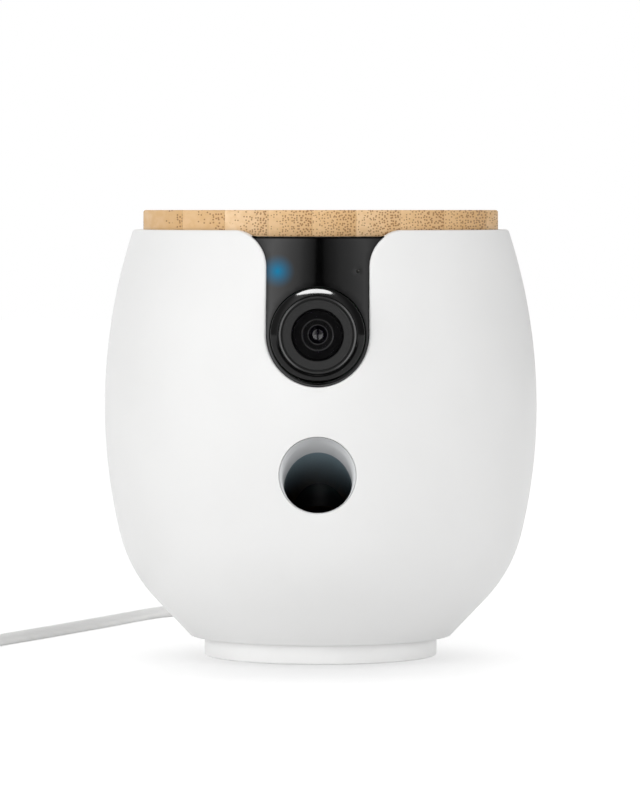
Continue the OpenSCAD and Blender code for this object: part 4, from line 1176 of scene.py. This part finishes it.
def board_look():
    """Green circuit board with paler copper lines under its varnish."""
    look = Look("board_green", (0.02, 0.12, 0.05), 0.35)
    cells = look.add("TexVoronoi", {"Vector": look.place, "Scale": 330, "Randomness": 0.6},
                     distance="CHEBYCHEV").outputs
    line = look.ramp(look.math("ABSOLUTE", look.minus(cells["Distance"], 0.36)), 0.05, 0.02)
    look.paint(line, (0.016, 0.1, 0.042), (0.05, 0.22, 0.09))
    look.gloss(look.noise(1900), 0.25, 0.42)
    look.bump(line, 0.2, GRAIN_DEPTH)
    return look


# Painted light and shade in the throwing tube: the heights in metres over which it goes from black
# to pale blue
TUBE_PAINTED_LIGHT_SPAN = (0.044, 0.059)


def tube_look():
    """Throwing tube: smoke-blue plastic, painted dark towards its foot and paler and bluer towards
    its top, as painted shade and light.
    """
    look = Look("tube_grey", (0.1, 0.125, 0.14), 0.4)
    # Painted shade low down and painted light high up
    rise = look.ramp(look.axes()["Z"], *TUBE_PAINTED_LIGHT_SPAN)
    look.paint(rise, (0.006, 0.007, 0.008), (0.2, 0.27, 0.31))
    look.grain(1800, 0.34, 0.46, 0.1)
    return look


# Plastic and rubber: colour, roughness, colour drift and its scale, the grain's scale and bump
MOULDED = {
    "shell_white": ((0.785, 0.785, 0.78), 0.36, 0.008, 40, 2600, 0.05),
    # base_white is whiter than the shell's white: painted light against the shade under the shell
    "base_white": ((0.93, 0.93, 0.925), 0.36, 0.01, 60, 2600, 0.06),
    "sensor_dark": ((0.03, 0.025, 0.05), 0.2, 0.3, 900, 3000, 0.05),
    "chip_black": ((0.02, 0.02, 0.022), 0.5, 0.2, 400, 4000, 0.3),
    "outlet_white": ((0.62, 0.63, 0.64), 0.42, 0.015, 90, 2400, 0.08),
    "hopper_white": ((0.8, 0.8, 0.78), 0.34, 0.015, 60, 2200, 0.08),
    "frame_grey": ((0.42, 0.43, 0.44), 0.45, 0.04, 80, 2000, 0.15),
    "acetal": ((0.78, 0.77, 0.72), 0.38, 0.03, 150, 2600, 0.08),
    "foot_rubber": ((0.7, 0.7, 0.69), 0.7, 0.03, 200, 3200, 0.3),
    "seal_silicone": ((0.72, 0.73, 0.72), 0.55, 0.03, 200, 2600, 0.12),
    "feed_orange": ((0.75, 0.25, 0.06), 0.35, 0.04, 90, 2200, 0.1),
    "button_grey": ((0.6, 0.61, 0.62), 0.4, 0.02, 200, 2600, 0.1),
    "speaker_paper": ((0.035, 0.035, 0.035), 0.8, 0.25, 500, 2000, 0.5),
    "cord_white": ((0.86, 0.86, 0.85), 0.42, 0.015, 60, 2400, 0.08),
    "plug_white": ((0.81, 0.81, 0.8), 0.38, 0.012, 90, 2400, 0.08),
    "tie_black": ((0.025, 0.025, 0.026), 0.6, 0.2, 400, 3000, 0.4),
    # window_ledge: matt black, painted shade under the lid
    "window_ledge": ((0.004, 0.004, 0.004), 0.9, 0.2, 400, 3000, 0.2),
}
MILKY = {"acetal": 0.1, "seal_silicone": 0.2}
# Metal: colour, roughness, and where they differ the lines' stretch and scale
METALS = {
    "mic_metal": ((0.35, 0.34, 0.32), 0.35),
    "steel": ((0.66, 0.66, 0.65), 0.25),
    "motor_can": ((0.62, 0.62, 0.6), 0.28, (1.0, 1.0, 0.05), 3000),
    "ballast": ((0.42, 0.42, 0.43), 0.5, (1.0, 1.0, 1.0), 900),
    "speaker_metal": ((0.55, 0.55, 0.54), 0.3),
    "contact_metal": ((0.72, 0.7, 0.66), 0.24, (1.0, 0.04, 1.0)),
}
LOOKS = {
    "bamboo": bamboo_look(), "window_black": window_look(), "hood_black": hood_look(),
    "barrel_black": barrel_look(), "inner_glass": inner_look(), "board_green": board_look(),
    "led_blue": led_look(), "tube_grey": tube_look(),
    "lens_glass": coated("lens_glass", (0.004, 0.003, 0.006), (0.002, 0.002, 0.004),
                         (0.006, 0.004, 0.01), 0.02, Alpha=0.05, Specular_IOR_Level=0.0),
    "lens_mask": coated("lens_mask", (0.001, 0.001, 0.0015), (0.0006, 0.0006, 0.001),
                        (0.0016, 0.0012, 0.0024), 0.03, IOR=1.12),
}
for name, values in MOULDED.items():
    LOOKS[name] = moulded(name, *values)
for name, weight in MILKY.items():
    LOOKS[name].set("Subsurface Weight", weight)
# No reflections on the ledge either: painted shade under the lid
LOOKS["window_ledge"].set("Specular IOR Level", 0.0)
for name, values in METALS.items():
    LOOKS[name] = metal(name, *values)


def dress(made, *looks):
    made.data.materials.clear()
    for look in looks:
        made.data.materials.append(look.mat)


for part in frame["record"]["subparts"]:
    dress(nodes[part["node"]], LOOKS[part["material_slot"]])
for made, slot in (
    (lead, "cord_white"), (tie, "tie_black"), (plug, "plug_white"), (shell, "shell_white"),
    (base, "base_white"), (hood, "hood_black"), (led, "led_blue"), (nozzle, "outlet_white"),
    (barrel, "barrel_black"), (inner_dome, "inner_glass"), (lid, "bamboo"),
):
    dress(made, LOOKS[slot])
dress(window, LOOKS["window_black"], LOOKS["window_ledge"])
dress(glass, LOOKS["lens_glass"], LOOKS["lens_mask"])


# Rounded edges, in millimetres, on solids that show as they are
ROUNDED = {
    "plug_contact": 0.15, "setup_button": 0.3, "strain_relief": 0.3,
    "lid_plug": 0.4, "lid_seal": 0.2, "hopper": 0.4,
}
BEVEL_STEPS = 3

for name, radius in ROUNDED.items():
    nodes[name].modifiers.new("weld", "WELD").merge_threshold = MERGE
    bevel = nodes[name].modifiers.new("edge", "BEVEL")
    bevel.width = radius * MM
    bevel.segments = BEVEL_STEPS
    bevel.limit_method = "ANGLE"
    bevel.angle_limit = SHARP
    bevel.harden_normals = True


# Floor, world and lamps
FLOOR_CORNERS = [(-4, -4, 0), (4, -4, 0), (4, 4, 0), (-4, 4, 0)]
FLOOR_LIT = 0.88
FLOOR_SHADED = 0.45
# The floor's own glow by the distance from a point in front of the base: dimmer near it, a painted
# shadow, and a little brighter far off
PAINTED_SHADOW_AT = (0.0, -0.036, 0.0)
PAINTED_SHADOW_GLOW = (0.005, 0.085, 0.45, 0.73)
GLOW_FAR = (0.2, 1.2, 0.0, 0.07)
AMBIENT = 0.645
# Greys of the surroundings in reflections, from the front (0) to the back (1), and how much
# brighter the left is than the right
SURROUND = (
    (0.01, 0.0), (0.018, 0.1), (0.036, 0.19), (0.053, 0.28), (0.071, 0.43), (0.107, 0.62),
    (0.143, 0.87), (0.17, 1.0), (0.3, 0.28), (0.6, 0.22), (0.85, 0.62), (1.0, 0.62),
)
LEFT_TO_RIGHT = (-0.05, 0.05, 1.6, 0.85)
LAMP_AIM = Vector((0.0, 0.0, 0.07))


class Stage(Shading):
    """A look of the surroundings, with one shader where it is seen and one for its light."""

    def __init__(self, owner):
        owner.use_nodes = True
        super().__init__(owner.node_tree)
        self.tree.nodes.clear()
        self.rays = self.add("LightPath").outputs

    def finish(self, output, light, seen):
        """Seen is what shows to the camera, in a reflection or through glass."""
        shown = self.math("MAXIMUM", self.rays["Is Camera Ray"], self.rays["Is Glossy Ray"])
        shown = self.math("MAXIMUM", shown, self.rays["Is Transmission Ray"])
        pick = self.add("MixShader", {0: shown, 1: light.outputs[0], 2: seen.outputs[0]})
        self.add(output, {"Surface": pick.outputs[0]})


def make_floor():
    mesh = bpy.data.meshes.new("floor")
    mesh.from_pydata(FLOOR_CORNERS, [], [(0, 1, 2, 3)])
    made = put("floor", mesh)
    mat = bpy.data.materials.new("floor")
    look = Stage(mat)
    place = look.add("TexCoord").outputs["Object"]
    off = look.add("VectorMath", {0: place, 1: PAINTED_SHADOW_AT}, operation="SUBTRACT").outputs[0]
    far = look.add("VectorMath", {0: off}, operation="LENGTH").outputs["Value"]
    # Painted shadow: the glow is dimmer near the point in front of the base
    level = look.plus(look.ramp(far, *PAINTED_SHADOW_GLOW), look.ramp(far, *GLOW_FAR, "LINEAR"))
    glow = look.add("Emission", {"Strength": level})
    shaded = look.add("BsdfDiffuse", {"Color": (*grey(FLOOR_SHADED), 1.0)})
    both = look.add("AddShader", {0: shaded.outputs[0], 1: glow.outputs[0]})
    lit = look.add("BsdfDiffuse", {"Color": (*grey(FLOOR_LIT), 1.0)})
    look.finish("OutputMaterial", lit, both)
    mesh.materials.append(mat)
    return made


def make_world():
    """White where it is seen, with a camera's dark place in reflections, and soft light."""
    scene.world = bpy.data.worlds.new("world")
    look = Stage(scene.world)
    axes = look.add("SeparateXYZ", {0: look.add("TexCoord").outputs["Generated"]}).outputs
    turn = look.math("ARCTAN2", axes["X"], look.times(axes["Y"], -1.0))
    away = look.ramp(look.math("ABSOLUTE", turn), 0.0, pi, kind="LINEAR")
    side = look.ramp(turn, *LEFT_TO_RIGHT, "LINEAR")
    gap = look.add("VectorMath", {0: look.bands(away, SURROUND), "Scale": side}, operation="SCALE")
    tint = look.mix(look.rays["Is Glossy Ray"], WHITE, gap.outputs[0])
    seen = look.add("Background", {"Color": tint})
    look.finish("OutputWorld", look.add("Background", {"Strength": AMBIENT}), seen)


def make_lamp(name, turn, rise, far, wide, high, power, only=(), off=()):
    """A soft box: only is what it shows in, as a reflection, and off what it leaves unlit."""
    data = bpy.data.lights.new(name, "AREA")
    data.shape = "ELLIPSE" if only else "RECTANGLE"
    data.size = wide
    data.size_y = high
    data.energy = power
    made = put(name, data)
    turn, rise = radians(turn), radians(rise)
    level = cos(rise)
    ray = Vector((sin(turn) * level, -cos(turn) * level, sin(rise)))
    made.location = LAMP_AIM + far * ray
    made.rotation_euler = (-ray).to_track_quat("-Z", "Y").to_euler()
    made.visible_camera = False
    made.visible_glossy = bool(only)
    made.visible_diffuse = not only
    made.visible_transmission = False
    if only or off:
        linked = bpy.data.collections.new(name)
        for named in only or off:
            linked.objects.link(named)
        for link in linked.collection_objects:
            link.light_linking.link_state = "INCLUDE" if only else "EXCLUDE"
        made.light_linking.receiver_collection = linked


floor = make_floor()
make_world()
make_lamp("top_box", -5, 60, 1.15, 1.2, 0.5, 3.6)
make_lamp("top_shine", -10, 61, 1.15, 0.9, 0.4, 32.0, only=[hood])
make_lamp("left_box", -62, 10, 1.6, 0.9, 0.9, 7.4)
make_lamp("right_box", 70, 10, 1.6, 0.9, 0.9, 5.6)
make_lamp("front_box", -12, 1, 2.2, 1.4, 0.8, 16.0)
make_lamp("back_box", 180, 12, 1.6, 0.4, 0.8, 9.0, off=[floor])

bpy.context.view_layer.update()
